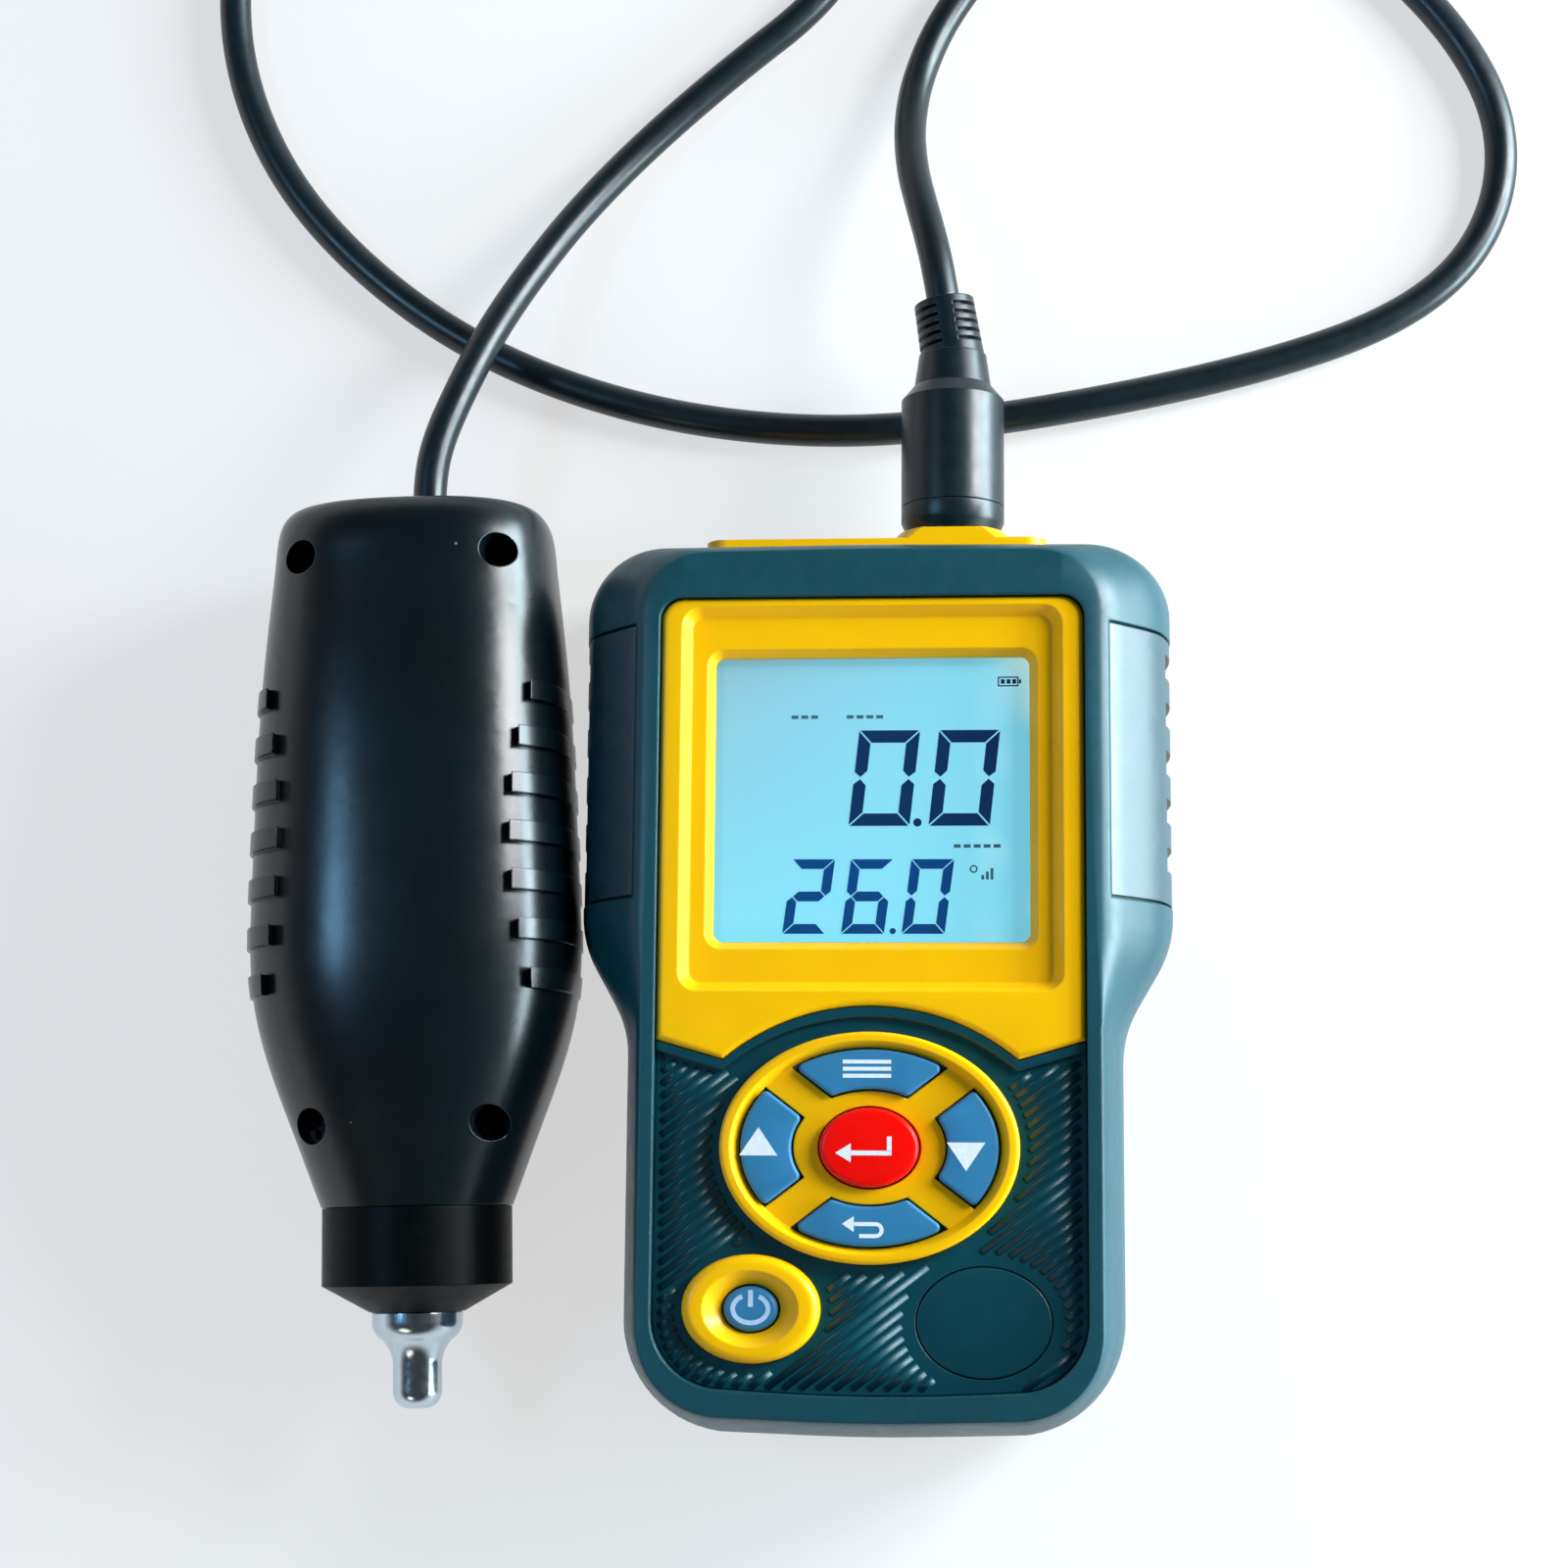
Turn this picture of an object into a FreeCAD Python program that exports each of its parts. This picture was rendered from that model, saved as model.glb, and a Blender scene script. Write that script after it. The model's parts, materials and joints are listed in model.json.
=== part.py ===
import FreeCAD, Part
import math
import os
from functools import lru_cache

V = FreeCAD.Vector

# All sizes are in millimetres.  The meter lies on its back: X runs across its face, Y along it
# towards the socket end, Z up out of the face.  The origin is the middle of the flat back.

# --- meter: plan outline and heights -------------------------------------------------------
HALF_WIDE = 39.7          # widest half width, beside the display
HALF_NARROW = 32.9        # half width beside the keys
RIM_WIDE = 30.2           # half width of the crease round the front rim
RIM_NARROW = 29.8
TOP_END = 58.6            # socket end of the boot
BOTTOM_END = 60.0         # handle end of the boot, towards -Y
RIM_TOP = 55.6
RIM_BOTTOM = 57.4
TOP_CROWN = 0.3           # how much the ends bulge
BOTTOM_CROWN = 1.0
TOP_CORNER = 9.5
BOTTOM_CORNER = 15.0
CROWN_RADIUS = 240.0
SHOULDER_HIGH_Y = 4.6     # where the wide part starts to narrow
SHOULDER_LOW_Y = -7.2
SHOULDER_RADIUS = 15.0

BACK_Z = 0.0
BOOT_BACK_Z = 1.5
WIDEST_Z = 16.0
SPLIT_Z = 15.0            # parting plane of the two shells
SHELL_TOP_Z = 30.6
RIM_Z = 33.0
PLATE_TOP_Z = 29.4        # front plate under the bezel and the key panel
PLATE_BOTTOM_Z = 28.4
FLOOR_TOP_Z = 2.6         # inside of the back
BOOT_WALL = 2.6
SHELL_WALL = 2.0

# --- front opening, bezel and window ---------------------------------------------------------
OPEN_HALF = 27.8
OPEN_TOP = 49.2
OPEN_BOTTOM = -54.3
OPEN_CORNER_TOP = 3.0
OPEN_CORNER_BOTTOM = 9.0
FIT_GAP = 0.1

BEZEL_TOP_Z = 32.4
BEZEL_SIDE_LOW = -9.0     # where the side edges end
BEZEL_TIP_X = 19.0
BEZEL_TIP_Y = -11.5
BEZEL_ARCH_Y = -4.6
RECESS_HALF = 23.7
RECESS_LOW = -1.5
RECESS_HIGH = 46.7
RECESS_Z = 30.8
WINDOW_HALF = 20.6
WINDOW_LOW = 3.9
WINDOW_HIGH = 41.4
WINDOW_BEVEL = 1.1

# --- keypad ------------------------------------------------------------------------------------
PANEL_TOP_Z = 31.0
PAD_X, PAD_Y = 0.0, -22.7
RING_OUT = (19.2, 14.75)       # semi axes of the yellow keypad ring
RING_DISH = (17.9, 13.6)
KEYS_OUT = (16.75, 12.75)
KEYS_IN = (9.75, 7.2)
ENTER_AXES = (6.35, 5.05)
SPOKE_HALF = 2.0
KEY_GAP = 0.25
RING_TOP_Z = 33.3
RING_FLOOR_Z = 31.9
RING_UNDER_Z = 30.6
KEY_TOP_Z = 32.9
KEY_FLANGE_Z = (29.65, 30.3)
KEY_FLANGE = 0.6
DOME_TOP_Z = 28.3          # tops of the mat's domes, under the key stems
STEM_GAP = 0.1             # between a stem and its dome
DOME_RADIUS = 2.3

KEYPAD_POCKET = (17.7, 13.4)   # room for the key flanges under each ring
POWER_POCKET = (4.9, 4.2)
POWER_X, POWER_Y = -15.0, -43.1
POWER_OUT = (8.85, 6.85)
POWER_DISH = (6.3, 4.9)
POWER_HOLE = (3.75, 3.1)
POWER_KEY = (3.5, 2.85)
POWER_KEY_TOP_Z = 32.5
BLANK_X, BLANK_Y = 14.6, -44.6
BLANK_AXES = (8.6, 6.95)

# --- side grips ----------------------------------------------------------------------------------
GRIP_LOW, GRIP_HIGH = 9.4, 45.8
GRIP_DEPTH = 1.2
GRIP_END_GAP = 0.4
NOTCH_PITCH = 6.5
NOTCH_HEIGHT = 3.2
NOTCH_DEPTH = 0.9
NOTCH_COUNT = 5

# --- inside the meter --------------------------------------------------------------------------
BOARD_Z = (21.4, 23.0)
BACKLIGHT_Z = (23.0, 26.2)
MODULE_Z = (26.2, 28.2)
BACKLIGHT_HALF = 23.0
BACKLIGHT_LOW, BACKLIGHT_HIGH = 3.0, 42.0
MODULE_HALF = 24.5
MODULE_LOW, MODULE_HIGH = 1.6, 43.6
BOARD_HALF = 27.0
BOARD_LOW, BOARD_HIGH = -46.5, 46.0
BUZZER_X, BUZZER_Y = 14.0, -36.0
BUZZER_RADIUS = 6.0
BUZZER_LOW_Z = 15.9
MAT_HALF = 19.5
MAT_LOW, MAT_HIGH = -46.0, -7.5
MAT_CORNER = 2.0
MAT_THICK = 0.8
SCREW_PLACES = ((28.5, 48.8), (-28.5, 48.8), (24.0, -47.0), (-24.0, -47.0))
SCREW_SEAT_Z = 6.0         # face inside the back that the screw heads press on
SCREW_TIP_Z = 24.0
SCREW_HEAD = 2.7
SCREW_SHANK = 1.3
BOSS_RADIUS = 3.4
POST_PLACES = ((24.0, 38.0), (-24.0, 38.0), (22.5, -2.0), (-22.5, -2.0))   # posts under the board
POST_RADIUS = 2.2
CELL_RADIUS = 5.25
CELL_LENGTH = 44.5
CELL_PITCH = 10.9
CELL_Z = 8.2
CELL_SLACK = 0.1
CELL_BUTTON = 1.9          # radii of a cell's raised button and of its flat end
CELL_BASE = 4.2
SPRING_RADII = (3.8, 2.4)  # outside, at the contact plate and at the cell
SPRING_WIRE = 0.6
SPRING_LENGTH = 3.0
CONTACT_LOW_Y = -54.2      # faces of the two rows of contact plates
CONTACT_HIGH_Y = CONTACT_LOW_Y + CELL_LENGTH + SPRING_LENGTH + CELL_SLACK
CONTACT_PLATE = 0.4
CONTACT_HALF = 4.4
CONTACT_Z = (5.1, 12.5)
BAY_WALL = 1.5             # walls round the battery bay
BAY_HALF = 17.8
BAY_SIDE_X = 19.9
TOP_WINDOW = (23.2, 7.2, 22.9)      # half width, low and high Z of the boot's openings at its ends
BOTTOM_WINDOW = (19.5, 0.0, 23.5)
DOOR_HALF = 18.3
DOOR_TOP_Y = -8.3
DOOR_Z = 1.8
DOOR_GAP = 0.2
THUMB_GROOVES = 4          # across the door, each shorter than the one before
THUMB_FIRST_Y = -13.0
THUMB_PITCH = 2.2
THUMB_HALF = 7.0
THUMB_TAPER = 1.6

# --- socket and plug ---------------------------------------------------------------------------
SOCKET_X, SOCKET_Z = 10.3, 16.5
END_FACE_Y = 59.3
BOSS_FACE_Y = 60.8
BOSS_FOOT, BOSS_RIM = 8.9, 7.5      # radii of the boss round the socket
SOCKET_BODY = 6.1
SOCKET_BACK_Y = 46.9
SOCKET_FACE_Y = 60.7
SOCKET_DEPTH_Y = 51.4               # bottom of the pin holes and of the shroud's groove
NUT_FACE_Y = 53.2
NUT_THICK = 2.0
NUT_REACH = 7.5
PLUG_RADIUS = 7.05
PLUG_END_RADIUS = 5.4
PLUG_START_Y = 61.0
PLUG_SEAM_Y = 64.7
PLUG_SHOULDER_Y = 79.9
PLUG_END_Y = 81.9
PLUG_INSERT_END_Y = 65.9
COLLAR_END_Y = 86.4                 # the strain relief's collar, then its ribbed sleeve
RELIEF_END_Y = 94.15
RELIEF_COLLAR = (5.3, 4.65)         # radii at the two ends
RELIEF_SLEEVE = (4.4, 4.15)
RELIEF_CORE = 3.2
RELIEF_GROOVES = 5
RELIEF_PITCH = 1.28
RELIEF_GROOVE = 0.55
RELIEF_SPINE = 1.1                  # half width of the smooth strips between the grooves
RELIEF_LEAN = 9.0                   # degrees, towards -X
SHROUD_OUT, SHROUD_IN = 5.45, 4.8
SHROUD_TIP_Y = 51.9

PIN_RADIUS = 0.5
PIN_TIP_Y, PIN_END_Y = 52.6, 64.4
PIN_CIRCLE = 2.9
PIN_PLACES = tuple((SOCKET_X + PIN_CIRCLE * math.cos(i * math.pi / 4),
                    SOCKET_Z + PIN_CIRCLE * math.sin(i * math.pi / 4)) for i in range(5))

# --- probe: half width, half height and squareness along its own axis -------------------------
PROBE_TURN = 1.6           # degrees, the probe lies a little askew beside the meter
PROBE_X = -61.9
PROBE_Z = 18.4
PROBE_WALL = 2.2
PROBE_STATIONS = (
    (64.4, 10.2, 7.2, 2.5),
    (64.0, 14.8, 11.0, 2.5),
    (63.1, 17.5, 13.5, 2.5),
    (61.3, 18.5, 14.6, 2.5),
    (54.0, 19.4, 15.4, 2.5),
    (40.0, 20.7, 16.8, 2.5),
    (24.0, 21.5, 17.8, 2.5),
    (8.0, 22.0, 18.3, 2.5),
    (-3.0, 21.6, 17.9, 2.45),
    (-13.0, 19.1, 16.3, 2.4),
    (-24.0, 15.1, 13.8, 2.2),
    (-30.5, 12.7, 12.4, 2.05),
)
PROBE_END_Y = PROBE_STATIONS[0][0]
PROBE_INNER_END_Y = PROBE_STATIONS[3][0]
PROBE_NECK_Y = PROBE_STATIONS[-1][0]
PROBE_SCREWS = ((13.4, 56.0), (-13.4, 56.0), (11.8, -20.0), (-11.8, -20.0))
PROBE_BOSS = 3.4
PROBE_BOSS_REACH = (11.0, 10.0)     # how far the bosses at the wide and the narrow end stand up
PROBE_SEAT = 5.0                    # screw seats above the parting plane
PROBE_HEAD = 2.2
PROBE_SHANK = 1.1
PROBE_SHANK_DEPTH = 6.5
RIB_COUNT = 7
RIB_PITCH = 6.4
RIB_FIRST_Y = 36.9
RIB_MIDDLE_Y = RIB_FIRST_Y - RIB_PITCH * (RIB_COUNT - 1) / 2
RIB_HEIGHT = 2.7
RIB_INNER_X = 15.4
RIB_BOW = 0.0065                    # how fast the ribs' inner ends draw outwards from the middle one
RIB_PROUD = 1.0
RIB_SQUARER = 0.35
NOSE_RADIUS = 12.6
NOSE_END_Y = -40.8
NOSE_FACE_Y = -44.3
NOSE_FACE_RADIUS = 6.3
NOSE_SPIGOT = 10.4
NOSE_SPIGOT_Y = -26.0
SENSOR_RADIUS = 8.0
SENSOR_NECK = 5.4
SENSOR_SEAT_Y = -40.3
SENSOR_BACK_Y = -22.0
STUD_RADIUS = 2.0
STUD_CLEARANCE = 0.06
STUD_END_Y = -37.0
STUD_BORE_Y = -36.0
TIP_FLANGE = 6.0
TIP_FLANGE_LENGTH = 1.2
TIP_NECK = (4.75, -47.9)            # radius and Y where the bell turns from bulging to hollow
TIP_PIN = 3.25
TIP_PIN_Y = -51.0
TIP_END_Y = -56.9
TIP_END_ROUND = 2.2
BOARD_THICK = 1.6
PROBE_BOARD = (9.0, 2.0, 46.0)      # half width and ends
EXIT_X = 1.7                        # the cable leaves a little off the probe's middle
GROMMET_NECK = 3.4
GROMMET_FLANGE = 4.6
GROMMET_FLANGE_THICK = 1.1

# --- cable ----------------------------------------------------------------------------------------
CABLE_D = 4.6
CABLE_R = CABLE_D / 2
ARC_SHARE = 0.45           # share of the shorter run that an arc takes up
COIL_X, COIL_Y = -45.0, 188.0
COIL_OUT = 29.9
COIL_IN = 20.3
COIL_TOP_Z = 8.7
COIL_ROUND = 1.8
TIE_HALF = 1.8
TIE_THICK = 1.0
PLUG_SIDE_ROUTE = (        # from just clear of the strain relief, round on the table, to the coil
    (9.08, 94.1, 16.5),
    (8.35, 98.7, 16.5),
    (7.35, 103.5, 15.65),
    (6.0, 109.0, 13.7),
    (4.4, 116.0, 10.3),
    (3.8, 124.1, 6.4),
    (5.0, 132.8, 3.4),
    (8.9, 142.4, 2.4),
    (16.5, 152.5, 2.4),
    (29.5, 160.0, 2.4),
    (45.5, 162.6, 2.4),
    (61.5, 157.8, 2.4),
    (73.8, 148.0, 2.4),
    (83.2, 136.5, 2.4),
    (88.3, 124.8, 2.4),
    (87.9, 112.9, 2.4),
    (82.3, 102.3, 2.4),
    (71.5, 94.5, 2.4),
    (54.5, 88.7, 2.4),
    (33.0, 84.0, 2.4),
    (10.0, 80.5, 2.4),
    (-12.0, 79.7, 2.4),
    (-35.0, 83.2, 2.4),
    (-57.3, 91.6, 2.4),
    (-75.5, 104.3, 2.4),
    (-89.5, 120.3, 2.4),
    (-97.0, 139.5, 2.4),
    (-96.8, 160.0, 2.4),
    (-89.0, 179.5, 2.4),
    (-75.5, 195.5, 2.4),
)
PROBE_SIDE_ROUTE = (       # from just clear of the probe's grommet, down to the table and to the coil
    (-62.0, 64.47, 18.4),
    (-62.13, 69.02, 18.4),
    (-61.1, 75.0, 18.3),
    (-58.3, 82.8, 16.9),
    (-55.0, 91.6, 14.0),
    (-50.4, 101.1, 10.2),
    (-44.0, 111.8, 6.2),
    (-35.0, 122.9, 3.2),
    (-22.8, 134.2, 2.4),
    (-8.6, 145.4, 2.4),
    (-1.4, 158.4, 2.4),
    (-0.8, 173.0, 2.4),
    (-6.6, 185.6, 3.0),
    (-16.0, 194.4, 4.4),
)


# ===== small shared builders ==================================================================
def box(x0, x1, y0, y1, z0, z1):
    return Part.makeBox(x1 - x0, y1 - y0, z1 - z0, V(x0, y0, z0))


def rod(radius, start, end):
    """A round bar between two points."""
    along = V(*end) - V(*start)
    return Part.makeCylinder(radius, along.Length, V(*start), along)


def cone(radius_a, radius_b, start, end):
    along = V(*end) - V(*start)
    return Part.makeCone(radius_a, radius_b, along.Length, V(*start), along)


def fuse(first, *others):
    return first.fuse(list(others)).removeSplitter()


def corner_arc(before, at, after, radius):
    """Tangent arc that rounds the corner at, as its start, middle and end."""
    to_before = (before - at).normalize()
    to_after = (after - at).normalize()
    half_inside = to_before.getAngle(to_after) / 2
    reach = radius / math.tan(half_inside)
    bisector = (to_before + to_after).normalize()
    middle = at + bisector * (radius / math.sin(half_inside) - radius)
    return at + to_before * reach, middle, at + to_after * reach


def rounded_outline(corners, z):
    """Closed wire through (x, y, radius) corners: straight runs joined by tangent arcs."""
    count = len(corners)
    points = [V(x, y, z) for x, y, _ in corners]
    arcs = []
    for i in range(count):
        arcs.append(corner_arc(points[i - 1], points[i], points[(i + 1) % count], corners[i][2]))
    edges = []
    for i in range(count):
        start, middle, end = arcs[i]
        edges.append(Part.Arc(start, middle, end).toShape())
        edges.append(Part.LineSegment(end, arcs[(i + 1) % count][0]).toShape())
    return Part.Wire(edges)


def prism(wire, height):
    return Part.Face(wire).extrude(V(0, 0, height))


def rounded_rect(x0, x1, y0, y1, radius, z):
    corners = [(x1, y1, radius), (x1, y0, radius), (x0, y0, radius), (x0, y1, radius)]
    return rounded_outline(corners, z)


def oval_wire(x, y, axes, z):
    return Part.Wire(Part.Ellipse(V(x, y, z), axes[0], axes[1]).toShape())


def oval(x, y, axes, z0, z1):
    return prism(oval_wire(x, y, axes, z0), z1 - z0)


def grown(axes, by):
    return axes[0] + by, axes[1] + by


def top_edges(shape, z):
    """Edges of a shape that lie wholly in the plane at height z."""
    flat = []
    for edge in shape.Edges:
        bounds = edge.BoundBox
        if abs(bounds.ZMin - z) < 0.01 and abs(bounds.ZMax - z) < 0.01:
            flat.append(edge)
    return flat


def soften_top(shape, z, radius):
    return shape.makeFillet(radius, top_edges(shape, z))


def save(name, shape):
    os.makedirs("parts", exist_ok=True)
    solids = shape.Solids
    volume = sum(solid.Volume for solid in solids)
    print(f"{name}: {len(solids)} solid, {volume:.0f} mm3, valid {shape.isValid()}")
    kept = solids[0] if len(solids) == 1 else Part.makeCompound(solids)
    kept.exportStep(f"parts/{name}.step")


# ===== meter housing and boot ====================================================================
def plan(share, inset, z):
    """Plan outline at height z: share 0 is the widest outline, 1 is the rim, inset shrinks both."""
    def between(wide, rim):
        return wide + share * (rim - wide) - inset

    wide = between(HALF_WIDE, RIM_WIDE)
    narrow = between(HALF_NARROW, RIM_NARROW)
    top = between(TOP_END, RIM_TOP)
    bottom = between(BOTTOM_END, RIM_BOTTOM)
    top_corner = TOP_CORNER - 0.6 * inset - 1.5 * share
    bottom_corner = BOTTOM_CORNER - 0.6 * inset - 4.0 * share
    right = [
        (wide, top - TOP_CROWN, top_corner),
        (wide, SHOULDER_HIGH_Y, SHOULDER_RADIUS),
        (narrow, SHOULDER_LOW_Y, SHOULDER_RADIUS),
        (narrow, BOTTOM_CROWN - bottom, bottom_corner),
    ]
    left = [(-x, y, radius) for x, y, radius in reversed(right)]
    crown = [(0.0, top, CROWN_RADIUS)]
    heel = [(0.0, -bottom, CROWN_RADIUS)]
    return rounded_outline(crown + right + heel + left, z)


def loft_plans(sections):
    return Part.makeLoft([plan(share, inset, z) for z, share, inset in sections], True, False)


@lru_cache(maxsize=None)
def skin(inset):
    """The boot's outer form, shrunk by inset."""
    return loft_plans((
        (BOOT_BACK_Z, 0.0, 1.9 + inset),
        (4.5, 0.0, 0.7 + inset),
        (9.5, 0.0, 0.15 + inset),
        (WIDEST_Z, 0.0, inset),
        (21.5, 0.1, inset),
        (26.5, 0.36, inset),
        (30.5, 0.72, inset),
        (32.3, 0.92, inset),
        (RIM_Z, 1.06, inset),
    ))


@lru_cache(maxsize=None)
def whole_housing(inset):
    """The two shells together as one solid, shrunk by inset."""
    wall = BOOT_WALL + inset
    return loft_plans((
        (BACK_Z, 0.0, wall + 2.6),
        (1.4, 0.0, wall + 1.0),
        (5.0, 0.0, wall + 0.2),
        (WIDEST_Z, 0.0, wall),
        (21.5, 0.1, wall),
        (26.5, 0.36, wall),
        (SHELL_TOP_Z, 0.74, wall),
    ))


@lru_cache(maxsize=None)
def housing(inset, low_z, high_z):
    reach = 2 * HALF_WIDE
    return whole_housing(inset).common(box(-reach, reach, -reach, reach, low_z, high_z))


def front_opening(gap, z0, z1):
    corners = [
        (OPEN_HALF - gap, OPEN_TOP - gap, OPEN_CORNER_TOP),
        (OPEN_HALF - gap, OPEN_BOTTOM + 1.6 + gap, OPEN_CORNER_BOTTOM),
        (0.0, OPEN_BOTTOM + gap, CROWN_RADIUS),
        (gap - OPEN_HALF, OPEN_BOTTOM + 1.6 + gap, OPEN_CORNER_BOTTOM),
        (gap - OPEN_HALF, OPEN_TOP - gap, OPEN_CORNER_TOP),
    ]
    return prism(rounded_outline(corners, z0), z1 - z0)


def grip_zone(side, gap):
    near, far = sorted((side * 30.5, side * 45.0))
    return box(near, far, GRIP_LOW + gap, GRIP_HIGH - gap, 3.0, 32.2)


def end_window(window, side, gap):
    half, low, high = window
    y0, y1 = sorted((side * 40.0, side * 70.0))
    return box(-half + gap, half - gap, y0, y1, low + gap, high - gap)


def make_boot():
    boot = skin(0.0).cut(housing(0.0, BACK_Z, SHELL_TOP_Z))
    boot = boot.cut(front_opening(0.0, PLATE_BOTTOM_Z, RIM_Z + 1))
    boot = boot.cut(end_window(TOP_WINDOW, 1, 0.0))
    boot = boot.cut(end_window(BOTTOM_WINDOW, -1, 0.0))
    sleeve = skin(0.0).cut(skin(GRIP_DEPTH))
    for side in (1, -1):
        boot = boot.cut(sleeve.common(grip_zone(side, 0.0)))
    return boot


def make_grip(side):
    grip = skin(0.12).cut(skin(GRIP_DEPTH)).common(grip_zone(side, GRIP_END_GAP))
    middle = (GRIP_LOW + GRIP_HIGH) / 2 + 1.2
    for i in range(NOTCH_COUNT):
        y = middle + (i - (NOTCH_COUNT - 1) / 2) * NOTCH_PITCH
        near, far = sorted((side * (HALF_WIDE - NOTCH_DEPTH), side * 45.0))
        half = NOTCH_HEIGHT / 2
        grip = grip.cut(box(near, far, y - half, y + half, 6.0, 26.0))
    return grip


def screw_bosses(z0, z1):
    """Round bosses for the case screws, kept inside the shells' outer form."""
    inside = housing(0.0, BACK_Z, SHELL_TOP_Z)
    return [rod(BOSS_RADIUS, (x, y, z0), (x, y, z1)).common(inside) for x, y in SCREW_PLACES]


def make_back_shell():
    shell = housing(0.0, BACK_Z, SPLIT_Z).cut(housing(SHELL_WALL, FLOOR_TOP_Z, SPLIT_Z + 1))
    foot = FLOOR_TOP_Z - 0.5
    posts = [rod(POST_RADIUS, (x, y, foot), (x, y, BOARD_Z[0])) for x, y in POST_PLACES]
    wall_y = CONTACT_HIGH_Y + CONTACT_PLATE
    end_wall = box(-BAY_HALF, BAY_HALF, wall_y, wall_y + BAY_WALL, foot, 13.6)
    half = BAY_WALL / 2
    low_y = CONTACT_LOW_Y - CONTACT_PLATE
    side_walls = [box(x - half, x + half, low_y, wall_y, foot, 9.0) for x in (-BAY_SIDE_X, BAY_SIDE_X)]
    shell = fuse(shell, end_wall, *screw_bosses(foot, SPLIT_Z), *posts, *side_walls)
    for x, y in SCREW_PLACES:
        shell = shell.cut(rod(SCREW_HEAD + 0.2, (x, y, -1), (x, y, SCREW_SEAT_Z)))
        shell = shell.cut(rod(SCREW_SHANK + 0.4, (x, y, SCREW_SEAT_Z - 1), (x, y, SPLIT_Z + 1)))
    reach = DOOR_HALF + DOOR_GAP
    shell = shell.cut(box(-reach, reach, -70, DOOR_TOP_Y + DOOR_GAP, -1, FLOOR_TOP_Z + 0.1))
    shell = shell.cut(box(-reach - 1, reach + 1, -70, DOOR_TOP_Y - 1, 0.7, 1.7))
    return shell.cut(socket_way(SOCKET_BODY, 40.0, 60.0))


def make_battery_door():
    plate = housing(0.0, BACK_Z, DOOR_Z).common(box(-DOOR_HALF, DOOR_HALF, -70, DOOR_TOP_Y, 0.05, DOOR_Z))
    tongues = box(-DOOR_HALF - 1, DOOR_HALF + 1, -70, DOOR_TOP_Y - 1.3, 0.85, 1.55)
    door = fuse(plate, housing(0.0, BACK_Z, DOOR_Z).common(tongues))
    for i in range(THUMB_GROOVES):
        y = THUMB_FIRST_Y - THUMB_PITCH * i
        half = THUMB_HALF - THUMB_TAPER * i
        door = door.cut(box(-half, half, y - 0.6, y + 0.6, -0.1, 0.6))
    return door


def socket_way(radius, y0, y1):
    """A round bar on the socket's axis."""
    return rod(radius, (SOCKET_X, y0, SOCKET_Z), (SOCKET_X, y1, SOCKET_Z))


def socket_cone(radius_a, radius_b, y0, y1):
    return cone(radius_a, radius_b, (SOCKET_X, y0, SOCKET_Z), (SOCKET_X, y1, SOCKET_Z))


def make_front_shell():
    shell = housing(0.0, SPLIT_Z, SHELL_TOP_Z).cut(housing(SHELL_WALL, SPLIT_Z - 1, PLATE_BOTTOM_Z))
    shell = fuse(shell, *screw_bosses(SPLIT_Z, PLATE_BOTTOM_Z + 0.5))
    for x, y in SCREW_PLACES:
        shell = shell.cut(rod(SCREW_SHANK, (x, y, SPLIT_Z - 1), (x, y, SCREW_TIP_Z + 1)))
    shell = shell.cut(front_opening(0.0, PLATE_TOP_Z, RIM_Z))
    shell = shell.cut(prism(lens_outline(0.0, PLATE_BOTTOM_Z - 1), 3))
    shell = shell.cut(oval(PAD_X, PAD_Y, KEYPAD_POCKET, PLATE_BOTTOM_Z - 1, PLATE_TOP_Z + 1))
    shell = shell.cut(oval(POWER_X, POWER_Y, POWER_POCKET, PLATE_BOTTOM_Z - 1, PLATE_TOP_Z + 1))
    return shell.cut(socket_way(SOCKET_BODY, 40.0, 60.0))


def make_top_end_plate():
    half, low, high = TOP_WINDOW
    outer = rounded_rect(-half + FIT_GAP, half - FIT_GAP, low + FIT_GAP, high - FIT_GAP, 3.0, 0)
    plate = prism(outer, 8.0)
    plate.rotate(V(0, 0, 0), V(1, 0, 0), 90)       # outline now stands upright, facing -Y
    plate.translate(V(0, END_FACE_Y, 0))
    plate = plate.cut(housing(0.0, BACK_Z, SHELL_TOP_Z))
    window = box(-half, half, 40.0, 70.0, low + FIT_GAP, high - FIT_GAP)
    boss = socket_cone(BOSS_FOOT, BOSS_RIM, END_FACE_Y - 0.3, BOSS_FACE_Y).common(window)
    plate = fuse(plate, boss)
    return plate.cut(socket_way(SOCKET_BODY, 40.0, 70.0))


def make_bottom_end_plate():
    half, low, high = BOTTOM_WINDOW
    block = skin(0.15).common(box(-half + FIT_GAP, half - FIT_GAP, -70, -50, 2.4, high - FIT_GAP))
    return block.cut(housing(0.0, BACK_Z, SHELL_TOP_Z))


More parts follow.
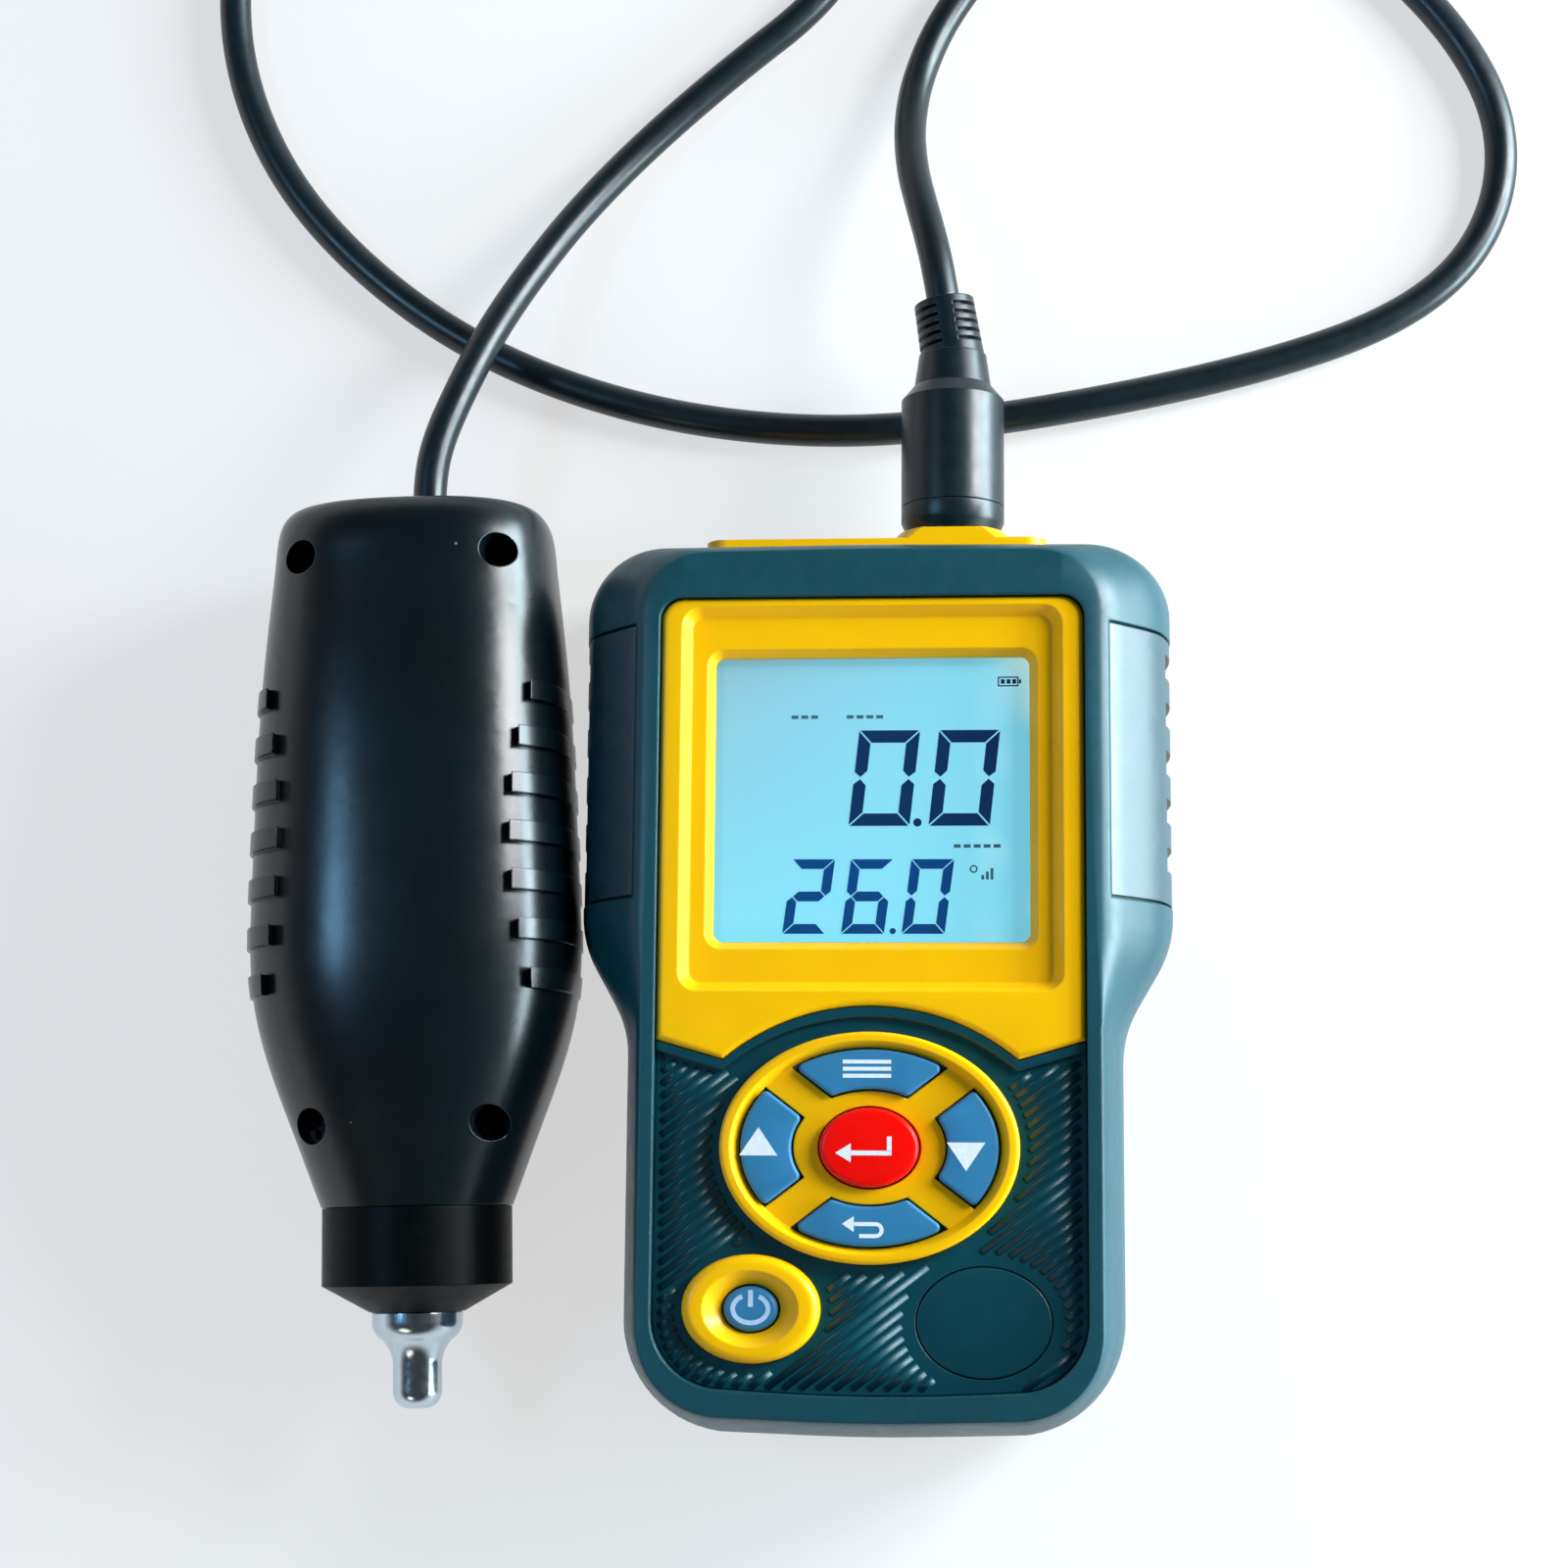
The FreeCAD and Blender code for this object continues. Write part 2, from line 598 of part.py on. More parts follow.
# ===== front: bezel, window, panel =================================================================
def bezel_outline(gap, drop, z):
    """Edge of the bezel; its lower edge arches over the keypad.  drop shifts it towards -Y."""
    side = OPEN_HALF - gap
    top = OPEN_TOP - gap
    soft = OPEN_CORNER_TOP
    tip_right = V(BEZEL_TIP_X, BEZEL_TIP_Y - drop, z)
    tip_left = V(-BEZEL_TIP_X, BEZEL_TIP_Y - drop, z)
    arch = V(0, BEZEL_ARCH_Y - drop, z)
    low = BEZEL_SIDE_LOW - drop
    right = corner_arc(V(0, top, z), V(side, top, z), V(side, low, z), soft)
    left = [V(-point.x, point.y, z) for point in reversed(right)]
    edges = [
        Part.LineSegment(left[2], right[0]).toShape(),
        Part.Arc(*right).toShape(),
        Part.LineSegment(right[2], V(side, low, z)).toShape(),
        Part.LineSegment(V(side, low, z), tip_right).toShape(),
        Part.Arc(tip_right, arch, tip_left).toShape(),
        Part.LineSegment(tip_left, V(-side, low, z)).toShape(),
        Part.LineSegment(V(-side, low, z), left[0]).toShape(),
        Part.Arc(*left).toShape(),
    ]
    return Part.Wire(edges)


def lens_outline(gap, z):
    side = WINDOW_HALF + 1.8 - gap
    return rounded_rect(-side, side, WINDOW_LOW - 1.8 + gap, WINDOW_HIGH + 1.8 - gap, 1.5, z)


def make_bezel():
    bezel = prism(bezel_outline(FIT_GAP, 0.0, PLATE_TOP_Z), BEZEL_TOP_Z - PLATE_TOP_Z)
    bezel = soften_top(bezel, BEZEL_TOP_Z, 0.9)
    slope = 1.3
    wide = rounded_rect(-RECESS_HALF - slope, RECESS_HALF + slope,
                        RECESS_LOW - slope, RECESS_HIGH + slope, 2.6, BEZEL_TOP_Z + 0.1)
    narrow = rounded_rect(-RECESS_HALF, RECESS_HALF, RECESS_LOW, RECESS_HIGH, 1.6, RECESS_Z)
    bezel = bezel.cut(Part.makeLoft([narrow, wide], True, True))
    bevel = WINDOW_BEVEL
    rim = rounded_rect(-WINDOW_HALF - bevel, WINDOW_HALF + bevel,
                       WINDOW_LOW - bevel, WINDOW_HIGH + bevel, 2.2, RECESS_Z + 0.05)
    pane = rounded_rect(-WINDOW_HALF, WINDOW_HALF, WINDOW_LOW, WINDOW_HIGH, 1.2, PLATE_TOP_Z - 0.05)
    return bezel.cut(Part.makeLoft([pane, rim], True, True))


def make_key_panel():
    panel = front_opening(FIT_GAP, PLATE_TOP_Z, PANEL_TOP_Z)
    band = prism(bezel_outline(FIT_GAP, 1.4, PLATE_TOP_Z), 32.0 - PLATE_TOP_Z)
    band = band.common(front_opening(FIT_GAP, PLATE_TOP_Z, RIM_Z))
    panel = fuse(panel, soften_top(band, 32.0, 0.3))
    panel = panel.cut(prism(bezel_outline(FIT_GAP - 0.05, 0.1, PLATE_TOP_Z - 1), 5))
    panel = panel.cut(oval(PAD_X, PAD_Y, grown(RING_OUT, 0.05), PLATE_TOP_Z - 1, RIM_Z))
    panel = panel.cut(oval(POWER_X, POWER_Y, grown(POWER_OUT, 0.05), PLATE_TOP_Z - 1, RIM_Z))
    return panel.cut(oval(BLANK_X, BLANK_Y, grown(BLANK_AXES, 0.15), PLATE_TOP_Z - 1, RIM_Z))


def make_blank_cap():
    return soften_top(oval(BLANK_X, BLANK_Y, BLANK_AXES, PLATE_TOP_Z, PANEL_TOP_Z), PANEL_TOP_Z, 0.2)


# ===== keys and their rings ==========================================================================
SPOKE_X = KEYS_OUT[0] / math.hypot(*KEYS_OUT)
SPOKE_Y = KEYS_OUT[1] / math.hypot(*KEYS_OUT)


def key_wedge(facing, half_spoke, z0, z1):
    """Wedge between two spokes; facing is the unit (x, y) of the key's side of the pad."""
    fx, fy = facing
    lean = SPOKE_X if fy else SPOKE_Y          # sine of half the wedge's angle
    apex = V(PAD_X + fx * half_spoke / lean, PAD_Y + fy * half_spoke / lean, z0)
    far = 60.0
    if fy:
        ends = [V(apex.x + s * far * SPOKE_X, apex.y + fy * far * SPOKE_Y, z0) for s in (-1, 1)]
    else:
        ends = [V(apex.x + fx * far * SPOKE_X, apex.y + s * far * SPOKE_Y, z0) for s in (-1, 1)]
    return prism(Part.makePolygon([apex, ends[0], ends[1], apex]), z1 - z0)


def key_block(facing, gap, z0, z1):
    ring = oval(PAD_X, PAD_Y, grown(KEYS_OUT, -gap), z0, z1)
    ring = ring.cut(oval(PAD_X, PAD_Y, grown(KEYS_IN, gap), z0 - 1, z1 + 1))
    return ring.common(key_wedge(facing, SPOKE_HALF + gap, z0, z1))


def upright_edges(shape):
    upright = []
    for edge in shape.Edges:
        bounds = edge.BoundBox
        if bounds.XLength < 0.01 and bounds.YLength < 0.01:
            upright.append(edge)
    return upright


def make_keypad_ring():
    ring = soften_top(oval(PAD_X, PAD_Y, RING_OUT, PLATE_TOP_Z, RING_TOP_Z), RING_TOP_Z, 0.6)
    dish = [oval_wire(PAD_X, PAD_Y, KEYS_OUT, RING_FLOOR_Z),
            oval_wire(PAD_X, PAD_Y, RING_DISH, RING_TOP_Z + 0.1)]
    ring = ring.cut(Part.makeLoft(dish, True, True))
    ring = ring.cut(oval(PAD_X, PAD_Y, KEYPAD_POCKET, PLATE_TOP_Z - 1, RING_UNDER_Z))
    for facing in ((0, 1), (0, -1), (-1, 0), (1, 0)):
        ring = ring.cut(key_block(facing, 0.0, RING_UNDER_Z - 1, RING_TOP_Z))
    return ring.cut(oval(PAD_X, PAD_Y, grown(ENTER_AXES, KEY_GAP), RING_UNDER_Z - 1, RING_TOP_Z))


def key_stem(x, y):
    """The pin under a key that presses its dome."""
    return rod(DOME_RADIUS - 0.4, (x, y, DOME_TOP_Z + STEM_GAP), (x, y, KEY_FLANGE_Z[1]))


def make_side_key(facing):
    cap = key_block(facing, KEY_GAP, KEY_FLANGE_Z[0], KEY_TOP_Z)
    cap = cap.makeFillet(0.7, upright_edges(cap))
    cap = soften_top(cap, KEY_TOP_Z, 0.4)
    flange = key_block(facing, KEY_GAP - KEY_FLANGE, *KEY_FLANGE_Z)
    x = PAD_X + facing[0] * (KEYS_IN[0] + KEYS_OUT[0]) / 2
    y = PAD_Y + facing[1] * (KEYS_IN[1] + KEYS_OUT[1]) / 2
    return fuse(cap, flange, key_stem(x, y))


def make_oval_key(x, y, axes, top_z):
    cap = soften_top(oval(x, y, axes, KEY_FLANGE_Z[0], top_z), top_z, 0.7)
    flange = oval(x, y, grown(axes, KEY_FLANGE), *KEY_FLANGE_Z)
    return fuse(cap, flange, key_stem(x, y))


def make_power_ring():
    ring = soften_top(oval(POWER_X, POWER_Y, POWER_OUT, PLATE_TOP_Z, RING_TOP_Z), RING_TOP_Z, 1.3)
    dish = [oval_wire(POWER_X, POWER_Y, POWER_HOLE, 31.6),
            oval_wire(POWER_X, POWER_Y, POWER_DISH, RING_TOP_Z + 0.1)]
    ring = ring.cut(Part.makeLoft(dish, True, True))
    ring = ring.cut(oval(POWER_X, POWER_Y, POWER_HOLE, PLATE_TOP_Z - 1, RING_TOP_Z))
    return ring.cut(oval(POWER_X, POWER_Y, POWER_POCKET, PLATE_TOP_Z - 1, RING_UNDER_Z))


DOME_PLACES = (
    (PAD_X, PAD_Y),
    (PAD_X, PAD_Y + (KEYS_IN[1] + KEYS_OUT[1]) / 2),
    (PAD_X, PAD_Y - (KEYS_IN[1] + KEYS_OUT[1]) / 2),
    (PAD_X + (KEYS_IN[0] + KEYS_OUT[0]) / 2, PAD_Y),
    (PAD_X - (KEYS_IN[0] + KEYS_OUT[0]) / 2, PAD_Y),
    (POWER_X, POWER_Y),
)


def make_keypad_mat():
    outline = rounded_rect(-MAT_HALF, MAT_HALF, MAT_LOW, MAT_HIGH, MAT_CORNER, BOARD_Z[1])
    sheet = prism(outline, MAT_THICK)
    domes = [cone(DOME_RADIUS + 0.6, DOME_RADIUS - 0.3, (x, y, BOARD_Z[1]), (x, y, DOME_TOP_Z))
             for x, y in DOME_PLACES]
    return fuse(sheet, *domes)


# ===== inside the meter ==========================================================================
def make_main_board():
    outline = rounded_rect(-BOARD_HALF, BOARD_HALF, BOARD_LOW, BOARD_HIGH, 2.0, BOARD_Z[0])
    board = prism(outline, BOARD_Z[1] - BOARD_Z[0])
    for x, y in SCREW_PLACES:
        board = board.cut(rod(BOSS_RADIUS + 0.4, (x, y, BOARD_Z[0] - 1), (x, y, BOARD_Z[1] + 1)))
    return board


def cross_slot(x, y, arm, half_width, z0, z1):
    """Cross-shaped cutter for a screw's driver."""
    first = box(x - half_width, x + half_width, y - arm, y + arm, z0, z1)
    return first.fuse(box(x - arm, x + arm, y - half_width, y + half_width, z0, z1))


def make_case_screws():
    screws = []
    top = SCREW_SEAT_Z - 2.0
    for x, y in SCREW_PLACES:
        head = rod(SCREW_HEAD, (x, y, top), (x, y, SCREW_SEAT_Z))
        head = head.cut(cross_slot(x, y, 1.8, 0.4, top - 1, top + 0.9))
        screws.append(fuse(head, rod(SCREW_SHANK, (x, y, SCREW_SEAT_Z - 0.1), (x, y, SCREW_TIP_Z))))
    return Part.makeCompound(screws)


def cell_x(index):
    return (index - 1) * CELL_PITCH


def cell_ends(index):
    """Low and high Y of a cell; its flat end leaves room for the spring."""
    if index % 2 == 0:
        high = CONTACT_HIGH_Y - CELL_SLACK
        return high - CELL_LENGTH, high
    low = CONTACT_LOW_Y + CELL_SLACK
    return low, low + CELL_LENGTH


def make_cell(index):
    x = cell_x(index)
    facing = 1 if index % 2 == 0 else -1       # neighbours lie head to tail
    low, high = cell_ends(index)
    can = rod(CELL_RADIUS, (x, low + 0.8, CELL_Z), (x, high - 0.8, CELL_Z))
    button_y = high - 0.9 if facing > 0 else low + 0.9
    base_y = low + 0.9 if facing > 0 else high - 0.9
    button = rod(CELL_BUTTON, (x, button_y, CELL_Z), (x, button_y + facing * 0.9, CELL_Z))
    base = rod(CELL_BASE, (x, base_y, CELL_Z), (x, base_y - facing * 0.9, CELL_Z))
    return fuse(can, button, base)


def make_battery_contacts():
    plates = []
    for i in range(3):
        x = cell_x(i)
        for y in (CONTACT_LOW_Y - CONTACT_PLATE, CONTACT_HIGH_Y):
            plates.append(box(x - CONTACT_HALF, x + CONTACT_HALF, y, y + CONTACT_PLATE, *CONTACT_Z))
    return Part.makeCompound(plates)


def make_battery_springs():
    """One tapered contact spring behind the flat end of each cell, as a thin-walled cone."""
    springs = []
    for i in range(3):
        x = cell_x(i)
        low, high = cell_ends(i)
        y0, y1 = (CONTACT_LOW_Y, low) if i % 2 == 0 else (CONTACT_HIGH_Y, high)
        start, end = (x, y0, CELL_Z), (x, y1, CELL_Z)
        outside = cone(*SPRING_RADII, start, end)
        springs.append(outside.cut(cone(*grown(SPRING_RADII, -SPRING_WIRE), start, end)))
    return Part.makeCompound(springs)


def make_din_socket():
    socket = socket_way(SOCKET_BODY, SOCKET_BACK_Y, SOCKET_FACE_Y)
    groove = socket_way(SHROUD_OUT + 0.1, SOCKET_DEPTH_Y, 62.0).cut(socket_way(SHROUD_IN - 0.1, 51.0, 63.0))
    socket = socket.cut(groove)
    for x, z in PIN_PLACES:
        socket = socket.cut(rod(PIN_RADIUS + 0.05, (x, SOCKET_DEPTH_Y, z), (x, 62.0, z)))
    return socket


def make_socket_nut():
    """Thin hexagon nut that clamps the socket from inside."""
    corners = []
    for i in range(7):
        angle = i * math.pi / 3
        x = SOCKET_X + NUT_REACH * math.cos(angle)
        corners.append(V(x, NUT_FACE_Y, SOCKET_Z + NUT_REACH * math.sin(angle)))
    hexagon = Part.Face(Part.makePolygon(corners)).extrude(V(0, -NUT_THICK, 0))
    return hexagon.cut(socket_way(SOCKET_BODY, 50, 60))


# ===== plug ========================================================================================
def make_plug_body():
    body = socket_way(PLUG_RADIUS, PLUG_SEAM_Y + 0.1, PLUG_SHOULDER_Y)
    shoulder = socket_cone(PLUG_RADIUS, PLUG_END_RADIUS, PLUG_SHOULDER_Y, PLUG_END_Y)
    return fuse(body, shoulder).cut(socket_way(SHROUD_OUT, 60.0, PLUG_INSERT_END_Y))


def make_plug_ring():
    """Base ring with a rounded lower edge, parted from the body by a fine seam."""
    ring = socket_way(PLUG_RADIUS, PLUG_START_Y, PLUG_SEAM_Y)
    lead = socket_cone(6.3, PLUG_RADIUS + 0.9, PLUG_START_Y, PLUG_SEAM_Y)
    return ring.common(lead).cut(socket_way(SHROUD_OUT, 60.0, 66.0))


def make_plug_shroud():
    shroud = socket_way(SHROUD_OUT, SHROUD_TIP_Y, PLUG_INSERT_END_Y)
    return shroud.cut(socket_way(SHROUD_IN, 50.0, 70.0))


def make_plug_insert():
    insert = socket_way(SHROUD_IN, PLUG_START_Y, PLUG_INSERT_END_Y)
    for x, z in PIN_PLACES:
        insert = insert.cut(rod(PIN_RADIUS, (x, 60, z), (x, PIN_END_Y, z)))
    return insert


def make_plug_pins():
    return Part.makeCompound([rod(PIN_RADIUS, (x, PIN_TIP_Y, z), (x, PIN_END_Y, z)) for x, z in PIN_PLACES])


def relief_groove(y):
    """Two half rings, one each side of the sleeve, that leave its front and back smooth."""
    half = RELIEF_GROOVE / 2
    ring = socket_way(6.0, y - half, y + half).cut(socket_way(RELIEF_CORE, y - 1, y + 1))
    spine = box(SOCKET_X - RELIEF_SPINE, SOCKET_X + RELIEF_SPINE, y - 1, y + 1, 0.0, 40.0)
    return ring.cut(spine)


def make_strain_relief():
    """Collar on the plug's axis, then a ribbed sleeve that leans with the pull of the cable."""
    collar = socket_cone(*RELIEF_COLLAR, PLUG_END_Y, COLLAR_END_Y)
    sleeve = socket_cone(*RELIEF_SLEEVE, COLLAR_END_Y - 1.2, RELIEF_END_Y)
    for i in range(RELIEF_GROOVES):
        sleeve = sleeve.cut(relief_groove(RELIEF_END_Y - RELIEF_PITCH * (i + 1)))
    sleeve.rotate(V(SOCKET_X, COLLAR_END_Y, SOCKET_Z), V(0, 0, 1), RELIEF_LEAN)
    return fuse(collar, sleeve)


# ===== probe, built along Y and then laid askew ====================================================
def lay(shape):
    placed = shape.copy()
    placed.rotate(V(0, 0, 0), V(0, 0, 1), PROBE_TURN)
    placed.translate(V(PROBE_X, 0, 0))
    return placed


def probe_section(y, half_width, half_height, squareness):
    """Closed superellipse section, starting at its lowest point."""
    points = []
    count = 24
    for i in range(count):
        angle = 2 * math.pi * i / count - math.pi / 2
        c, s = math.cos(angle), math.sin(angle)
        x = half_width * math.copysign(abs(c) ** (2 / squareness), c)
        z = half_height * math.copysign(abs(s) ** (2 / squareness), s)
        points.append(V(x, y, PROBE_Z + z))
    curve = Part.BSplineCurve()
    curve.interpolate(points, PeriodicFlag=True)
    return Part.Wire(curve.toShape())


@lru_cache(maxsize=None)
def probe_form(higher, squarer):
    wires = []
    for y, half_width, half_height, squareness in PROBE_STATIONS:
        wires.append(probe_section(y, half_width, half_height + higher, squareness + squarer))
    return Part.makeLoft(wires, True, False)


@lru_cache(maxsize=None)
def probe_hollow():
    """Room inside the probe's two shells, open towards the nose."""
    wires = []
    for y, half_width, half_height, squareness in PROBE_STATIONS:
        if y > PROBE_INNER_END_Y:
            continue
        place = y - 0.5 if y == PROBE_NECK_Y else y        # runs out past the open end
        wires.append(probe_section(place, half_width - PROBE_WALL, half_height - PROBE_WALL, squareness))
    return Part.makeLoft(wires, True, False)


def half_space(side):
    """Everything above (side 1) or below (side -1) the probe's parting plane."""
    z0, z1 = (PROBE_Z, 60.0) if side > 0 else (-20.0, PROBE_Z)
    return box(-40, 40, -60, 80, z0, z1)


def axis_rod(radius, y0, y1, x=0.0):
    """A round bar along the probe."""
    return rod(radius, (x, y0, PROBE_Z), (x, y1, PROBE_Z))


def grip_ribs(side):
    """Raised ribs on both shoulders; they die out where the shell is widest."""
    proud = probe_form(RIB_PROUD, RIB_SQUARER).common(half_space(side))
    blocks = []
    half = RIB_HEIGHT / 2
    z0, z1 = sorted((PROBE_Z + side * 1.0, PROBE_Z + side * 30.0))
    for i in range(RIB_COUNT):
        y = RIB_FIRST_Y - RIB_PITCH * i
        inner = RIB_INNER_X + RIB_BOW * (y - RIB_MIDDLE_Y) ** 2
        for x0, x1 in ((inner, 40.0), (-40.0, -inner)):
            blocks.append(box(x0, x1, y - half, y + half, z0, z1))
    return proud.common(Part.makeCompound(blocks))


def probe_boss(x, y, side):
    reach = PROBE_BOSS_REACH[0] if y > 0 else PROBE_BOSS_REACH[1]
    return rod(PROBE_BOSS, (x, y, PROBE_Z), (x, y, PROBE_Z + side * reach))


def make_probe_shell(side):
    inside = probe_form(-PROBE_WALL / 2, 0.0)       # ends what is fused on within the wall
    shell = probe_form(0.0, 0.0).common(half_space(side))
    shell = shell.fuse(grip_ribs(side).Solids)
    shell = shell.cut(probe_hollow())
    if side < 0:
        board_rest = box(-1.0, 1.0, 4.0, 44.0, 0.0, PROBE_Z - BOARD_THICK / 2)
        shell = shell.fuse(board_rest.common(inside))
    for x, y in PROBE_SCREWS:
        shell = shell.fuse(probe_boss(x, y, side).common(inside))
    for x, y in PROBE_SCREWS:
        if side > 0:
            shell = shell.cut(rod(PROBE_HEAD + 0.15, (x, y, PROBE_Z + PROBE_SEAT), (x, y, 60)))
            shell = shell.cut(rod(PROBE_SHANK + 0.35, (x, y, PROBE_Z - 1), (x, y, 60)))
        else:
            depth = PROBE_SHANK_DEPTH + 0.5
            shell = shell.cut(rod(PROBE_SHANK, (x, y, PROBE_Z - depth), (x, y, PROBE_Z + 1)))
    shell = shell.cut(axis_rod(GROMMET_NECK, PROBE_INNER_END_Y - 1, PROBE_END_Y + 1, EXIT_X))
    return shell.cut(axis_rod(NOSE_SPIGOT, NOSE_END_Y, NOSE_SPIGOT_Y))


def make_probe_screws():
    screws = []
    for x, y in PROBE_SCREWS:
        z = PROBE_Z + PROBE_SEAT
        head = rod(PROBE_HEAD, (x, y, z), (x, y, z + 1.6))
        head = head.cut(cross_slot(x, y, 1.5, 0.35, z + 0.8, z + 3))
        shank = rod(PROBE_SHANK, (x, y, PROBE_Z - PROBE_SHANK_DEPTH), (x, y, z + 0.2))
        screws.append(fuse(head, shank))
    return Part.makeCompound(screws)


def make_probe_nose():
    collar = axis_rod(NOSE_RADIUS, NOSE_END_Y, PROBE_NECK_Y - 0.1)
    taper = cone(NOSE_RADIUS, NOSE_FACE_RADIUS, (0, NOSE_END_Y, PROBE_Z), (0, NOSE_FACE_Y, PROBE_Z))
    spigot = axis_rod(NOSE_SPIGOT, PROBE_NECK_Y - 0.5, NOSE_SPIGOT_Y)
    nose = fuse(collar, taper, spigot)
    nose = nose.cut(axis_rod(SENSOR_RADIUS, SENSOR_SEAT_Y, NOSE_SPIGOT_Y + 1))
    return nose.cut(axis_rod(SENSOR_NECK, NOSE_FACE_Y - 1, SENSOR_SEAT_Y + 1))


def make_accelerometer():
    can = axis_rod(SENSOR_RADIUS, SENSOR_SEAT_Y, SENSOR_BACK_Y)
    neck = axis_rod(SENSOR_NECK, NOSE_FACE_Y, SENSOR_SEAT_Y + 0.5)
    outlet = axis_rod(3.0, SENSOR_BACK_Y - 0.5, SENSOR_BACK_Y + 3.5)
    body = fuse(can, neck, outlet)
    return body.cut(axis_rod(STUD_RADIUS + STUD_CLEARANCE, NOSE_FACE_Y - 1, STUD_BORE_Y))


def turned(edges):
    """Solid of revolution about the probe's axis, from a profile drawn in its parting plane."""
    face = Part.Face(Part.Wire(edges))
    return face.revolve(V(0, 0, PROBE_Z), V(0, 1, 0), 360)


def make_measuring_tip():
    """Bell-shaped contact tip: stud, flange, hollowed shoulder, and a pin with a rounded end."""
    def at(radius, y):
        return V(radius, y, PROBE_Z)

    face_y = NOSE_FACE_Y - FIT_GAP
    rim = at(TIP_FLANGE, face_y - TIP_FLANGE_LENGTH)
    middle = at(*TIP_NECK)
    pin_start = at(TIP_PIN, TIP_PIN_Y)
    pin_end = at(TIP_PIN, TIP_END_Y + TIP_END_ROUND)
    flat = at(TIP_PIN - TIP_END_ROUND, TIP_END_Y)
    bulge = (rim + middle) * 0.5 + V(0.28, -0.22, 0)
    hollow = (middle + pin_start) * 0.5 + V(-0.3, 0.15, 0)
    slant = TIP_END_ROUND * math.sqrt(0.5)
    nose_round = at(TIP_PIN - TIP_END_ROUND + slant, TIP_END_Y + TIP_END_ROUND - slant)
    corners = [at(0, TIP_END_Y), at(0, STUD_END_Y), at(STUD_RADIUS, STUD_END_Y),
               at(STUD_RADIUS, face_y), at(TIP_FLANGE, face_y), rim]
    edges = [Part.LineSegment(a, b).toShape() for a, b in zip(corners, corners[1:])]
    edges += [
        Part.Arc(rim, bulge, middle).toShape(),
        Part.Arc(middle, hollow, pin_start).toShape(),
        Part.LineSegment(pin_start, pin_end).toShape(),
        Part.Arc(pin_end, nose_round, flat).toShape(),
        Part.LineSegment(flat, corners[0]).toShape(),
    ]
    return turned(edges)


def make_probe_board():
    half = BOARD_THICK / 2
    half_wide, low, high = PROBE_BOARD
    return box(-half_wide, half_wide, low, high, PROBE_Z - half, PROBE_Z + half)


def make_cable_grommet():
    neck = axis_rod(GROMMET_NECK, PROBE_INNER_END_Y - 0.1, PROBE_END_Y, EXIT_X)
    inner = PROBE_INNER_END_Y - GROMMET_FLANGE_THICK
    return fuse(neck, axis_rod(GROMMET_FLANGE, inner, PROBE_INNER_END_Y, EXIT_X))


# ===== cable =======================================================================================
def cable_tube(name, route):
    """Round tube along straight runs joined by the largest tangent arcs that the runs allow."""
    points = [V(*point) for point in route]
    edges = []
    here = points[0]
    radii = []
    for before, at, after in zip(points, points[1:], points[2:]):
        shorter = min((at - before).Length, (after - at).Length)
        turn = (at - before).getAngle(after - at)
        radius = ARC_SHARE * shorter / math.tan(turn / 2)
        radii.append(round(radius, 1))
        start, middle, end = corner_arc(before, at, after, radius)
        edges.append(Part.LineSegment(here, start).toShape())
        edges.append(Part.Arc(start, middle, end).toShape())
        here = end
    edges.append(Part.LineSegment(here, points[-1]).toShape())
    path = Part.Wire(edges)
    profile = Part.Wire(Part.Circle(points[0], points[1] - points[0], CABLE_R).toShape())
    tube = path.makePipeShell([profile], True, False)
    expected = math.pi * CABLE_R ** 2 * path.Length
    print(f"{name}: length {path.Length:.0f}, radii {radii}, volume share {tube.Volume / expected:.3f}")
    return tube


@lru_cache(maxsize=None)
def make_cable_coil():
    """Outer form of the tied turns: a ring with rounded edges."""
    ring = rod(COIL_OUT, (COIL_X, COIL_Y, 0), (COIL_X, COIL_Y, COIL_TOP_Z))
    ring = ring.cut(rod(COIL_IN, (COIL_X, COIL_Y, -1), (COIL_X, COIL_Y, COIL_TOP_Z + 1)))
    circles = [edge for edge in ring.Edges if len(edge.Vertexes) == 1]
    return ring.makeFillet(COIL_ROUND, circles)


def make_cable_tie():
    """A flat tie folded over the bundle of turns on its far side."""
    near, far = COIL_Y + COIL_IN - TIE_THICK, COIL_Y + COIL_OUT + TIE_THICK
    tie = box(COIL_X - TIE_HALF, COIL_X + TIE_HALF, near, far, 0.0, COIL_TOP_Z + TIE_THICK)
    return tie.cut(make_cable_coil())


